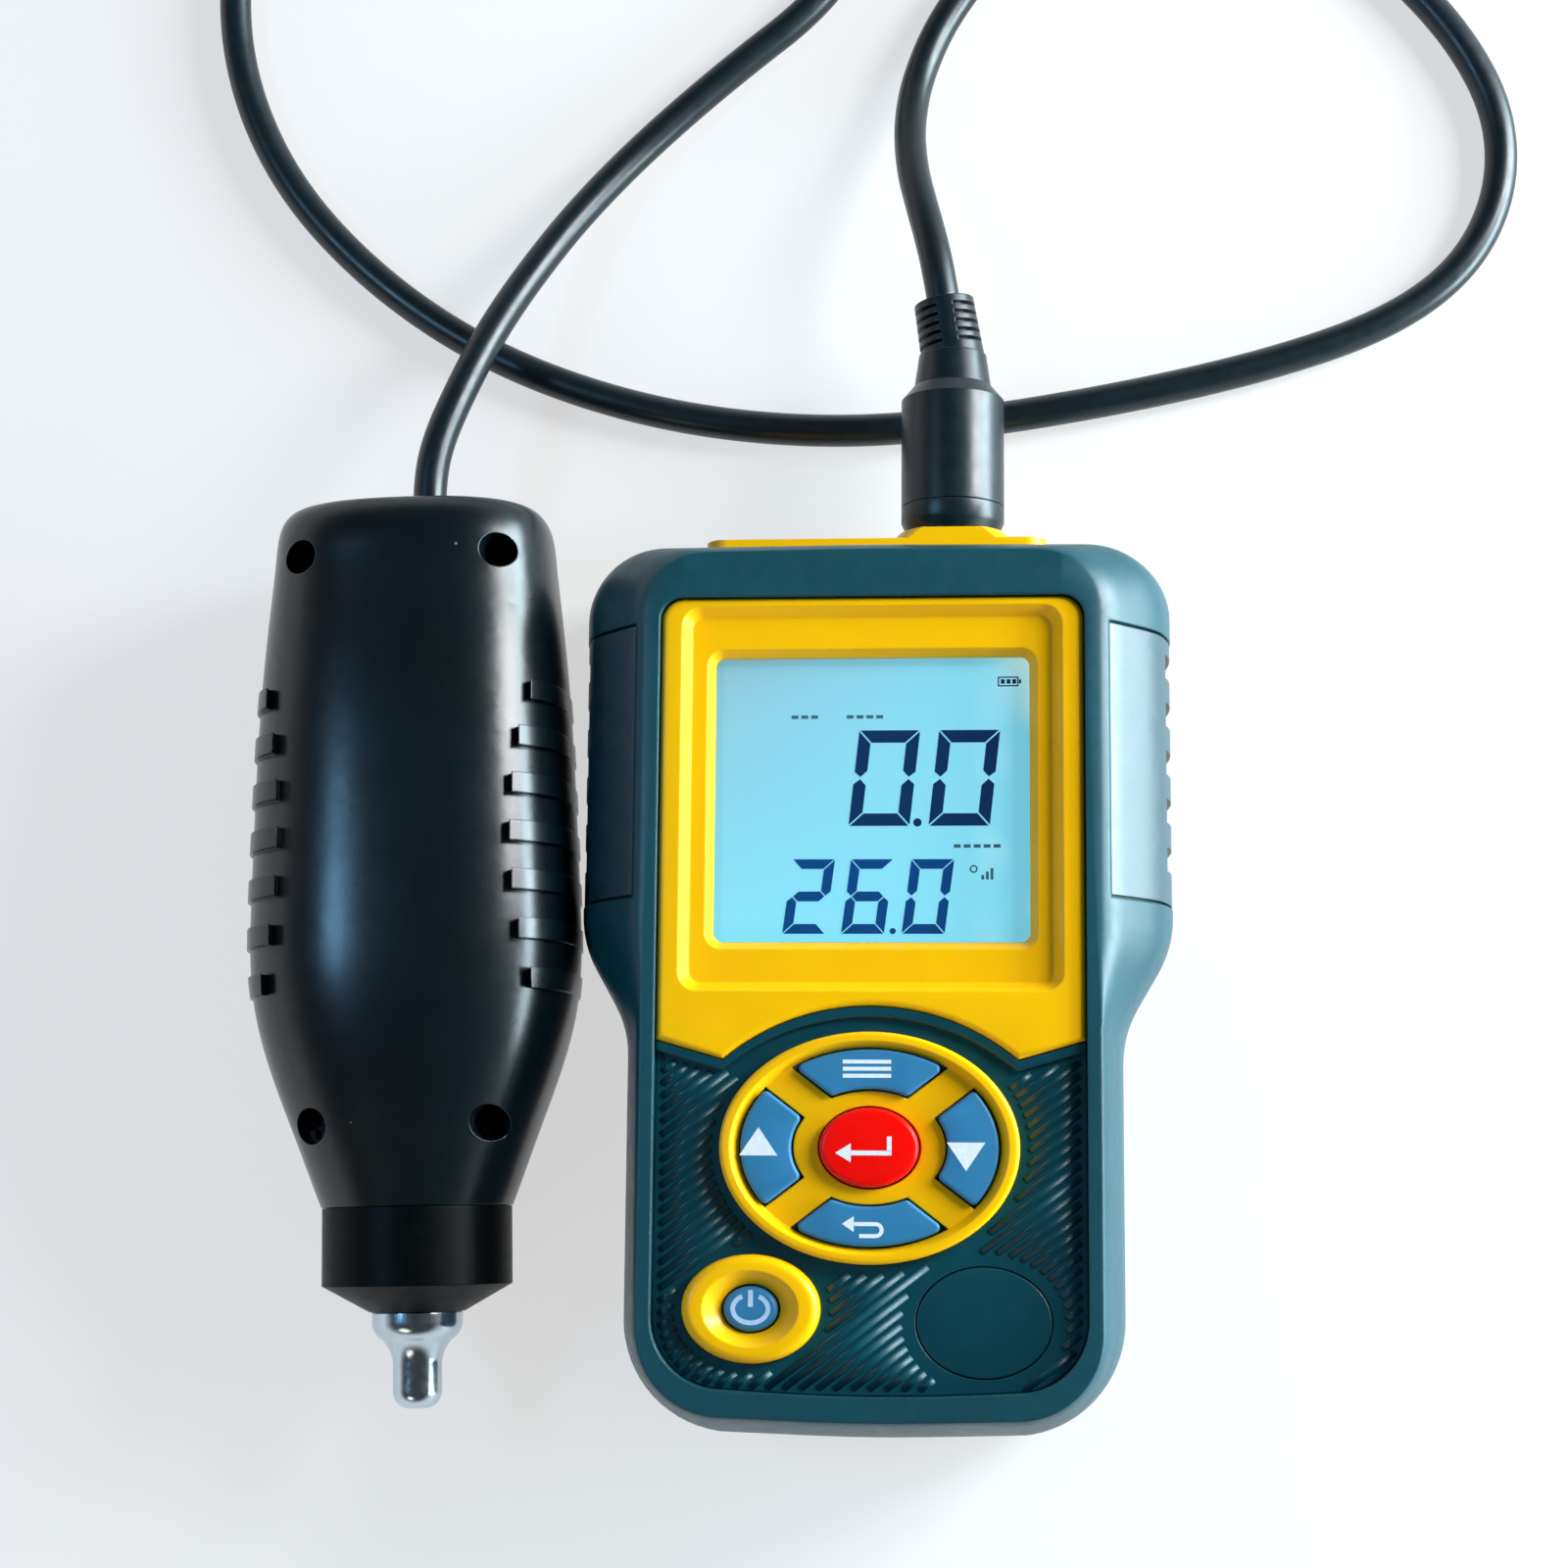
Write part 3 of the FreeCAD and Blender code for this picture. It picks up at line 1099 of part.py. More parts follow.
def main():
    save("rubber_boot", make_boot())
    save("grip_right", make_grip(1))
    save("grip_left", make_grip(-1))
    save("front_shell", make_front_shell())
    save("back_shell", make_back_shell())
    save("top_end_plate", make_top_end_plate())
    save("bottom_end_plate", make_bottom_end_plate())
    save("battery_door", make_battery_door())
    save("display_bezel", make_bezel())
    save("display_lens", prism(lens_outline(0.05, PLATE_BOTTOM_Z), PLATE_TOP_Z - PLATE_BOTTOM_Z))
    save("key_panel", make_key_panel())
    save("blank_cap", make_blank_cap())
    save("keypad_ring", make_keypad_ring())
    save("power_ring", make_power_ring())
    save("key_menu", make_side_key((0, 1)))
    save("key_escape", make_side_key((0, -1)))
    save("key_up", make_side_key((-1, 0)))
    save("key_down", make_side_key((1, 0)))
    save("key_enter", make_oval_key(PAD_X, PAD_Y, ENTER_AXES, RING_TOP_Z))
    save("key_power", make_oval_key(POWER_X, POWER_Y, POWER_KEY, POWER_KEY_TOP_Z))
    save("keypad_mat", make_keypad_mat())
    save("display_module", box(-MODULE_HALF, MODULE_HALF, MODULE_LOW, MODULE_HIGH, *MODULE_Z))
    backlight = box(-BACKLIGHT_HALF, BACKLIGHT_HALF, BACKLIGHT_LOW, BACKLIGHT_HIGH, *BACKLIGHT_Z)
    save("display_backlight", backlight)
    save("main_board", make_main_board())
    save("buzzer", rod(BUZZER_RADIUS, (BUZZER_X, BUZZER_Y, BUZZER_LOW_Z), (BUZZER_X, BUZZER_Y, BOARD_Z[0])))
    save("case_screws", make_case_screws())
    for i in range(3):
        save(f"battery_{i + 1}", make_cell(i))
    save("battery_contacts", make_battery_contacts())
    save("battery_springs", make_battery_springs())
    save("din_socket", make_din_socket())
    save("socket_nut", make_socket_nut())
    save("plug_body", make_plug_body())
    save("plug_ring", make_plug_ring())
    save("plug_shroud", make_plug_shroud())
    save("plug_insert", make_plug_insert())
    save("plug_pins", make_plug_pins())
    save("strain_relief", make_strain_relief())
    save("cable_plug_side", cable_tube("cable_plug_side", PLUG_SIDE_ROUTE))
    save("cable_probe_side", cable_tube("cable_probe_side", PROBE_SIDE_ROUTE))
    save("cable_coil", make_cable_coil())
    save("cable_tie", make_cable_tie())
    save("probe_front_shell", lay(make_probe_shell(1)))
    save("probe_rear_shell", lay(make_probe_shell(-1)))
    save("probe_screws", lay(make_probe_screws()))
    save("probe_nose", lay(make_probe_nose()))
    save("accelerometer", lay(make_accelerometer()))
    save("measuring_tip", lay(make_measuring_tip()))
    save("probe_board", lay(make_probe_board()))
    save("cable_grommet", lay(make_cable_grommet()))


main()
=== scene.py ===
"""Looks of a handheld vibration meter with a wired hand probe, lying on a pale table."""

import json
import math

import bmesh
import bpy
import numpy as np
from mathutils import Matrix, Vector

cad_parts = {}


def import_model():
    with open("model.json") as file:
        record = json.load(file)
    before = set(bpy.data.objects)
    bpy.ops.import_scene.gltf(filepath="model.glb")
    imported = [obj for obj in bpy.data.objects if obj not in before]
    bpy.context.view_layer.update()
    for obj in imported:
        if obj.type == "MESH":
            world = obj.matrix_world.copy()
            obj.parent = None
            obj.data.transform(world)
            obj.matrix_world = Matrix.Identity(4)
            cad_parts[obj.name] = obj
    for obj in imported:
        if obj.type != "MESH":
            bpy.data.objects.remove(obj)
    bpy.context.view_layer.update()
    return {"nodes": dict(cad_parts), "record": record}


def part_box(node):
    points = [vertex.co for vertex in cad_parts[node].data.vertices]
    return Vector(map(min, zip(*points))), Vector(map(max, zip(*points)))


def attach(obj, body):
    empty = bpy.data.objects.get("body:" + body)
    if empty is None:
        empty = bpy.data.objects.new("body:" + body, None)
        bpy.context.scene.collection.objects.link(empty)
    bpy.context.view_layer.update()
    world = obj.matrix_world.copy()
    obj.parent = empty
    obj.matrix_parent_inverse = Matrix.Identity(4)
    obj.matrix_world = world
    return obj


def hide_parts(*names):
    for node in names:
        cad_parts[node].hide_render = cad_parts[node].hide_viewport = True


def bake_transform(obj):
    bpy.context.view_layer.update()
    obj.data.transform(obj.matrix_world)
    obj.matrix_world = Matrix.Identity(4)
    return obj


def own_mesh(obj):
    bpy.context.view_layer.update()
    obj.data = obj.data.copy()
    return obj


MM = 0.001

# --- camera, in millimetres -------------------------------------------------------------------------
CAMERA_PLACE = (19.0, -33.0, 405.0)
CAMERA_TARGET = (-12.63, 26.78, 16.0)
CAMERA_ROLL = math.radians(0.5)
CAMERA_LENS = 66.64
SENSOR_WIDTH = 36.0
CAMERA_NEAR = 10.0

# --- cable, in millimetres: the CAD's own routes ------------------------------------------------------
CABLE_D = 4.6
PLUG_ROUTE = (
    (9.08, 94.1, 16.5),
    (8.35, 98.7, 16.5),
    (7.35, 103.5, 15.65),
    (6.0, 109.0, 13.7),
    (4.4, 116.0, 10.3),
    (3.8, 124.1, 6.4),
    (5.0, 132.8, 3.4),
    (8.9, 142.4, 2.4),
    (16.5, 152.5, 2.4),
    (29.5, 160.0, 2.4),
    (45.5, 162.6, 2.4),
    (61.5, 157.8, 2.4),
    (73.8, 148.0, 2.4),
    (83.2, 136.5, 2.4),
    (88.3, 124.8, 2.4),
    (87.9, 112.9, 2.4),
    (82.3, 102.3, 2.4),
    (71.5, 94.5, 2.4),
    (54.5, 88.7, 2.4),
    (33.0, 84.0, 2.4),
    (10.0, 80.5, 2.4),
    (-12.0, 79.7, 2.4),
    (-35.0, 83.2, 2.4),
    (-57.3, 91.6, 2.4),
    (-75.5, 104.3, 2.4),
    (-89.5, 120.3, 2.4),
    (-97.0, 139.5, 2.4),
    (-96.8, 160.0, 2.4),
    (-89.0, 179.5, 2.4),
    (-75.5, 195.5, 2.4),
)
PROBE_ROUTE = (
    (-62.0, 64.47, 18.4),
    (-62.13, 69.02, 18.4),
    (-61.1, 75.0, 18.3),
    (-58.3, 82.8, 16.9),
    (-55.0, 91.6, 14.0),
    (-50.4, 101.1, 10.2),
    (-44.0, 111.8, 6.2),
    (-35.0, 122.9, 3.2),
    (-22.8, 134.2, 2.4),
    (-8.6, 145.4, 2.4),
    (-1.4, 158.4, 2.4),
    (-0.8, 173.0, 2.4),
    (-6.6, 185.6, 3.0),
    (-16.0, 194.4, 4.4),
)
LEAD_TOP_Y = 147.0          # the plug's lead is a piece of its own as far as this
TUBE_SIDES = 18             # points round the cable
SPLINE_STEPS = 12           # places read along each stretch of its spline
PLUG_SWAY_START, PLUG_SWAY_END = PLUG_ROUTE[1], PLUG_ROUTE[7]       # second and eighth points of the plug's route
PROBE_SWAY_START, PROBE_SWAY_END = PROBE_ROUTE[1], PROBE_ROUTE[9]
COIL_CENTRE = (-45.0, 188.0)
COIL_OUTER, COIL_INNER, COIL_UPPER = 27.5, 22.9, 25.2      # radii of the turns' middle lines
COIL_FLOOR_Z, COIL_UPPER_Z = 2.4, 6.4
COIL_START_ANGLE = 150.0
COIL_SWEEP = 830.0                                          # degrees, clockwise seen from above
COIL_STEP = 22.0
COIL_INWARD = (330.0, 375.0)                                # degrees turned while it moves inwards
COIL_CLIMB = (590.0, 650.0)                                 # and while it climbs to the turn on top
CABLE_JOIN = (-25.4, 203.4, 6.4)                            # where the two stretches meet on the coil
TIE_HALF = 1.8                                              # half the strap's width
TIE_INSIDE, TIE_OUTSIDE = 0.05, 0.75                        # strap's faces, from the cable's surface
TIE_LOW_Z = 0.02                                            # the strap stays this far off the table
TIE_POINTS = 48

# --- panel and keys, in millimetres ---------------------------------------------------------------------
PANEL_TOP = 31.0
PAD_CENTRE = (0.0, -22.7)
RING_AXES = (19.2, 14.75)
POWER_CENTRE = (-15.0, -43.1)
POWER_AXES = (8.85, 6.85)
BLANK_CENTRE = (14.6, -44.6)
BLANK_AXES = (8.6, 6.95)
PANEL_HALF = 26.8           # half width, ends and lower corner of the ridged field
PANEL_LOW, PANEL_HIGH = -53.0, -8.0
PANEL_CORNER = 8.4
BAND_TIP = (19.0, -13.6)    # lower edge of the raised band under the bezel
BAND_SIDE = (27.7, -11.0)
BAND_ARCH_Y = -6.9
RIDGE_PITCH = 1.3
RIDGE_WIDTH = 0.92
RIDGE_HEIGHT = 0.17
RIDGE_ANGLE = math.radians(37.0)
RIDGE_STEP = 0.05           # spacing of the test points along a ridge's line
RIDGE_LINE = 80.0           # half the length of such a line
RIDGE_SHORTEST = 2.0        # shorter stubs are left out
RIDGE_MIDDLE_Y = -30.0
RIDGE_SPREAD = 60.0         # ridges are tried this far to each side of the middle
RIDGE_SIDES = 6
RIDGE_SUNK = 0.1
MOAT = 1.3                  # smooth strip round the rings
BLANK_MOAT = MOAT + 0.6     # wider round the blank cap
KEY_TOP = 32.9
ENTER_TOP = 33.3
POWER_TOP = 32.5
PRINT_THICK = 0.05
PRINT_SUNK = 0.02           # marks go this far into what carries them
MAT_THICK = 0.8             # silicone mat under the keys
MAT_CORNER = 2.0
DOME_RADII = (2.8, 2.0)     # at the sheet and at the top
DOME_ROUND = 0.4
DOME_SHOULDER = 0.3         # where the rounded edge is bevelled, as a share of its size
DOME_SUNK = 0.05
DOME_SIDES = 32
SIDE_KEY_REACH = (13.25, 9.975)     # from the pad's middle to the side keys' stems

# --- display, in millimetres ------------------------------------------------------------------------
DISPLAY_TOP = 28.2
GLOW_HALF = 21.0            # half width and ends of the field over which the colour and the painted glow change
GLOW_LOW, GLOW_HIGH = 4.0, 41.0
MARK_BASE = DISPLAY_TOP - PRINT_SUNK
MARK_THICK = 0.07
FAINT_THICK = 0.06
LIT_SEGMENTS = {"0": "abcdef", "2": "abdeg", "6": "acdefg"}
UPPER_DIGITS = (("0", -3.1), ("0", 7.4))                    # each digit and its left edge
UPPER_Y = 19.3
UPPER_STYLE = {"size": (8.0, 12.7), "stroke": 1.65, "gap": 0.15, "slant": 0.11}
UPPER_POINT = ((5.95, 19.75), 0.55)                         # centre and radius
LOWER_DIGITS = (("2", -11.7), ("6", -4.0), ("0", 3.9))
LOWER_Y = 5.1
LOWER_STYLE = {"size": (5.6, 9.8), "stroke": 1.28, "gap": 0.11, "slant": 0.13}
LOWER_POINT = ((2.75, 5.45), 0.4)
DASH_ROWS = ((-10.7, 33.6, 3), (-3.4, 33.6, 4), (10.7, 16.4, 5))    # first x, y and count
DASH_PITCH, DASH_LENGTH, DASH_THICK = 1.3, 0.9, 0.45
RING_MARK = ((13.3, 13.6), (0.42, 0.42), 0.2, 0, 360)       # centre, axes, width and angles
LEVEL_PLACE = (14.3, 12.2)                                  # lower left corner of the level bars
LEVEL_PITCH, LEVEL_WIDTH, LEVEL_SHORTEST, LEVEL_RISE = 0.6, 0.35, 0.6, 0.45

# --- table, sky and lamps, in millimetres -----------------------------------------------------------
TABLE_HALF = 4000.0
TABLE_DROP = 0.05           # keeps the table's face clear of what stands on it
TABLE_GREYS = ((0.86, 0.86, 0.865, 1.0), (0.88, 0.88, 0.88, 1.0))
TABLE_GLOW = 0.62           # share of plain white in what the camera and reflections see
SKY_BAND = (0.05, 0.6)      # upward parts of a direction between which the sky dims
SKY_STRENGTHS = (1.0, 0.06)
SKY_COLOUR = (0.95, 0.98, 1.0, 1.0)
LAMPS = (                   # name, place, aimed at, size, brightness and colour
    ("window", (560, 90, 105), (20, 20, 25), (620, 200), 27.0, (0.72, 0.93, 1.0)),
    ("upper_pane", (470, 245, 315), (-48, 35, 32), (180, 210), 32.0, (0.96, 0.98, 1.0)),
    ("blue_lamp", (-385, 60, 545), (-70, 11, 36), (150, 95), 22.0, (0.3, 0.64, 1.0)),
    ("warm_fill", (-260, -460, 420), (-10, -30, 30), (220, 160), 2.5, (1.0, 0.9, 0.76)),
)

# --- shading of the CAD nodes -------------------------------------------------------------------------
MERGE_DISTANCE = 0.002      # millimetres
SHARP_ANGLE = math.radians(28)
OWN_MATERIAL = {"probe_nose": "nose_black_painted_shade"}      # nodes that look other than their slot's rest; the nose is painted darker, as shade


# ===== small helpers ================================================================================
def metres(point):
    return Vector(point) * MM


def linear(red, green, blue):
    """Colour given as 0 to 255 display values, turned into linear light."""
    def one(value):
        value /= 255
        return value / 12.92 if value <= 0.04045 else ((value + 0.055) / 1.055) ** 2.4

    return one(red), one(green), one(blue), 1.0


def add_object(name, data):
    obj = bpy.data.objects.new(name, data)
    bpy.context.scene.collection.objects.link(obj)
    return obj


def mesh_object(name, bm, smooth=True):
    bmesh.ops.recalc_face_normals(bm, faces=bm.faces)
    mesh = bpy.data.meshes.new(name)
    bm.to_mesh(mesh)
    bm.free()
    if smooth:
        mesh.shade_smooth()
    return add_object(name, mesh)


def join_loops(bm, a, b):
    """Adds the faces between two closed loops with the same number of points."""
    for i in range(len(a)):
        j = (i + 1) % len(a)
        bm.faces.new((a[i], a[j], b[j], b[i]))


def dress(obj, material):
    obj.data.materials.clear()
    obj.data.materials.append(material)


def finish_piece(obj, body, material):
    dress(obj, material)
    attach(obj, body)


# ===== materials ====================================================================================
class Nodes:
    """A material's node tree, with short ways to add and join nodes."""

    def __init__(self, name):
        self.material = bpy.data.materials.new(name)
        self.material.use_nodes = True
        self.tree = self.material.node_tree
        self.tree.nodes.clear()
        self.output = self.add("ShaderNodeOutputMaterial")
        self.coords = self.add("ShaderNodeTexCoord")

    def add(self, kind, **settings):
        node = self.tree.nodes.new(kind)
        for key, value in settings.items():
            setattr(node, key, value)
        return node

    def link(self, source, target):
        self.tree.links.new(source, target)

    def noise(self, size_mm, detail=2.0, roughness=0.5):
        node = self.add("ShaderNodeTexNoise")
        node.inputs["Scale"].default_value = 1.0 / (size_mm * MM)
        node.inputs["Detail"].default_value = detail
        node.inputs["Roughness"].default_value = roughness
        self.link(self.coords.outputs["Object"], node.inputs["Vector"])
        return node.outputs["Fac"]

    def ramp(self, value, low, high, to_low=0.0, to_high=1.0):
        node = self.add("ShaderNodeMapRange", clamp=True)
        node.inputs["From Min"].default_value = low
        node.inputs["From Max"].default_value = high
        node.inputs["To Min"].default_value = to_low
        node.inputs["To Max"].default_value = to_high
        self.link(value, node.inputs["Value"])
        return node.outputs["Result"]

    def math(self, operation, first, second):
        node = self.add("ShaderNodeMath", operation=operation)
        for socket, value in zip(node.inputs, (first, second)):
            if isinstance(value, (int, float)):
                socket.default_value = value
            else:
                self.link(value, socket)
        return node.outputs["Value"]

    def mix(self, share, first, second):
        node = self.add("ShaderNodeMix", data_type="RGBA")
        colour_sockets = (node.inputs[0], node.inputs[6], node.inputs[7])
        for socket, value in zip(colour_sockets, (share, first, second)):
            if isinstance(value, (int, float, tuple)):
                socket.default_value = value
            else:
                self.link(value, socket)
        return node.outputs[2]

    def bump(self, height, depth_mm, normal=None):
        node = self.add("ShaderNodeBump")
        node.inputs["Strength"].default_value = 1.0
        node.inputs["Distance"].default_value = depth_mm * MM
        self.link(height, node.inputs["Height"])
        if normal is not None:
            self.link(normal, node.inputs["Normal"])
        return node.outputs["Normal"]

    def soft_edges(self, radius_mm):
        node = self.add("ShaderNodeBevel", samples=6)
        node.inputs["Radius"].default_value = radius_mm * MM
        return node.outputs["Normal"]

    def edge_mask(self, soft_normal):
        """1 along outer and inner edges, where paler wear and painted edge highlights go; 0 on flat
        areas.
        """
        geometry = self.add("ShaderNodeNewGeometry")
        product = self.add("ShaderNodeVectorMath", operation="DOT_PRODUCT")
        self.link(soft_normal, product.inputs[0])
        self.link(geometry.outputs["Normal"], product.inputs[1])
        return self.ramp(product.outputs["Value"], 0.995, 0.9)

    def principled(self, **values):
        node = self.add("ShaderNodeBsdfPrincipled")
        for key, value in values.items():
            node.inputs[key.replace("_", " ")].default_value = value
        self.link(node.outputs["BSDF"], self.output.inputs["Surface"])
        return node


def scaled(colour, factor):
    return tuple(min(1.0, part * factor) for part in colour[:3]) + (1.0,)


def moulded(name, colour, roughness, grain_mm=0.35, grain_depth=0.006, mottle=0.10, mottle_mm=14.0,
            edge_mm=0.25, edge_wear_and_highlight=0.18, specular=0.5, edge_wear_and_highlight_colour=None):
    """Moulded plastic or rubber: slow colour drift, fine grain, and softened edges painted paler, partly
    as wear and partly as a painted edge highlight.
    """
    n = Nodes(name)
    shader = n.principled(Specular_IOR_Level=specular)
    drift = n.ramp(n.noise(mottle_mm, 3.0), 0.3, 0.7)
    base = n.mix(drift, scaled(colour, 1.0 - mottle), scaled(colour, 1.0 + mottle))
    soft = n.soft_edges(edge_mm)
    edge = n.edge_mask(soft)
    patchy = n.ramp(n.noise(3.0, 4.0), 0.35, 0.65)
    # paler edges: partly wear, partly a painted highlight along the edges
    share = n.math("MULTIPLY", n.math("MULTIPLY", edge, patchy), edge_wear_and_highlight)
    edge_wear_and_highlight_colour = edge_wear_and_highlight_colour or scaled(colour, 2.2)
    n.link(n.mix(share, base, edge_wear_and_highlight_colour), shader.inputs["Base Color"])
    n.link(n.ramp(n.noise(2.2, 4.0), 0.25, 0.75, roughness - 0.05, roughness + 0.06),
           shader.inputs["Roughness"])
    n.link(n.bump(n.noise(grain_mm, 3.0, 0.6), grain_depth, soft), shader.inputs["Normal"])
    return n.material


def dusty_plastic(name, colour, roughness):
    """Dark satin plastic of the probe, with a few pale specks of dust and slightly uneven gloss."""
    n = Nodes(name)
    shader = n.principled(Specular_IOR_Level=0.5)
    drift = n.ramp(n.noise(22.0, 3.0), 0.3, 0.7)
    base = n.mix(drift, scaled(colour, 0.8), scaled(colour, 1.25))
    cells = n.add("ShaderNodeTexVoronoi")
    cells.inputs["Scale"].default_value = 1.0 / (5.5 * MM)
    n.link(n.coords.outputs["Object"], cells.inputs["Vector"])
    speck = n.ramp(cells.outputs["Distance"], 0.045, 0.02)
    chosen = n.ramp(n.noise(16.0, 1.0), 0.55, 0.6)
    share = n.math("MULTIPLY", n.math("MULTIPLY", speck, chosen), 0.45)
    n.link(n.mix(share, base, linear(150, 150, 140)), shader.inputs["Base Color"])
    n.link(n.ramp(n.noise(7.0, 2.0), 0.25, 0.75, roughness - 0.015, roughness + 0.025),
           shader.inputs["Roughness"])
    soft = n.soft_edges(0.25)
    n.link(n.bump(n.noise(0.3, 2.0), 0.004, soft), shader.inputs["Normal"])
    return n.material


def metal(name, colour, roughness, lathe_mm=0.0):
    """Bare metal; lathe_mm scales the turning marks along the probe's axis, and 0 leaves them out."""
    n = Nodes(name)
    shader = n.principled(Metallic=1.0)
    soft = n.soft_edges(0.2)
    n.link(n.mix(n.ramp(n.noise(3.0, 3.0), 0.3, 0.7), scaled(colour, 0.9), colour),
           shader.inputs["Base Color"])
    n.link(n.ramp(n.noise(0.8, 3.0), 0.3, 0.7, roughness * 0.8, roughness * 1.25),
           shader.inputs["Roughness"])
    if lathe_mm:
        wave = n.add("ShaderNodeTexWave", bands_direction="Y")
        wave.inputs["Scale"].default_value = 0.05 / (lathe_mm * MM)
        wave.inputs["Distortion"].default_value = 0.4
        n.link(n.coords.outputs["Object"], wave.inputs["Vector"])
        n.link(n.bump(wave.outputs["Fac"], 0.002, soft), shader.inputs["Normal"])
    else:
        n.link(n.bump(n.noise(0.4, 2.0), 0.002, soft), shader.inputs["Normal"])
    return n.material


def clear_window():
    """Clear pane: dark and almost fully see-through, so that it adds gloss but no haze."""
    n = Nodes("clear_window")
    n.principled(Base_Color=(0.02, 0.03, 0.035, 1.0), Roughness=0.05, Alpha=0.06, IOR=1.49)
    return n.material


def display_glow():
    """Liquid crystal face, pale cyan and greyer at the top left, that glows with its own colour: painted
    light that keeps it bright where the bezel shades it, brightest in a painted glow at the right edge.
    """
    n = Nodes("display_glow")
    shader = n.principled(Roughness=0.25, Emission_Strength=0.66)
    split = n.add("ShaderNodeSeparateXYZ")
    n.link(n.coords.outputs["Object"], split.inputs["Vector"])
    across = n.ramp(split.outputs["X"], -GLOW_HALF * MM, GLOW_HALF * MM)
    upward = n.ramp(split.outputs["Y"], GLOW_LOW * MM, GLOW_HIGH * MM)
    corner = n.math("MULTIPLY", n.math("SUBTRACT", 1.0, across), upward)
    # painted glow: the face is painted brightest at its right edge, where the bezel shades it
    glow = n.ramp(across, 0.8, 1.0)
    patchy = n.ramp(n.noise(14.0, 1.0), 0.4, 0.6)
    fine = n.ramp(n.noise(0.25, 1.0), 0.2, 0.8, 0.0, 0.06)
    base = n.mix(corner, linear(138, 228, 248), linear(146, 196, 212))
    base = n.mix(n.math("MULTIPLY", glow, patchy), base, linear(205, 248, 250))
    base = n.mix(fine, base, linear(100, 190, 215))
    # the face glows with its own colour, as a backlit face does, and this glow is also painted light that
    # keeps the shaded strip bright
    n.link(n.mix(0.45, base, linear(20, 60, 70)), shader.inputs["Base Color"])
    n.link(base, shader.inputs["Emission Color"])
    return n.material


def printed(name, colour, roughness=0.45):
    """Pad-printed ink, with slight unevenness."""
    n = Nodes(name)
    shader = n.principled(Roughness=roughness)
    uneven = n.ramp(n.noise(0.6, 3.0), 0.3, 0.7)
    n.link(n.mix(uneven, scaled(colour, 0.88), colour), shader.inputs["Base Color"])
    return n.material


def table_top():
    """Pale table: white to the camera and in reflections, and it still takes the shadows."""
    n = Nodes("table_top")
    path = n.add("ShaderNodeLightPath")
    seen = n.math("MAXIMUM", path.outputs["Is Camera Ray"], path.outputs["Is Glossy Ray"])
    seen = n.math("MAXIMUM", seen, path.outputs["Is Transmission Ray"])
    diffuse = n.add("ShaderNodeBsdfDiffuse")
    n.link(n.mix(n.ramp(n.noise(60.0, 3.0), 0.3, 0.7), *TABLE_GREYS), diffuse.inputs["Color"])
    glow = n.add("ShaderNodeEmission")
    glow.inputs["Color"].default_value = (1.0, 1.0, 1.0, 1.0)
    blend = n.add("ShaderNodeMixShader")
    n.link(n.math("MULTIPLY", seen, TABLE_GLOW), blend.inputs["Fac"])
    n.link(diffuse.outputs["BSDF"], blend.inputs[1])
    n.link(glow.outputs["Emission"], blend.inputs[2])
    n.link(blend.outputs["Shader"], n.output.inputs["Surface"])
    return n.material


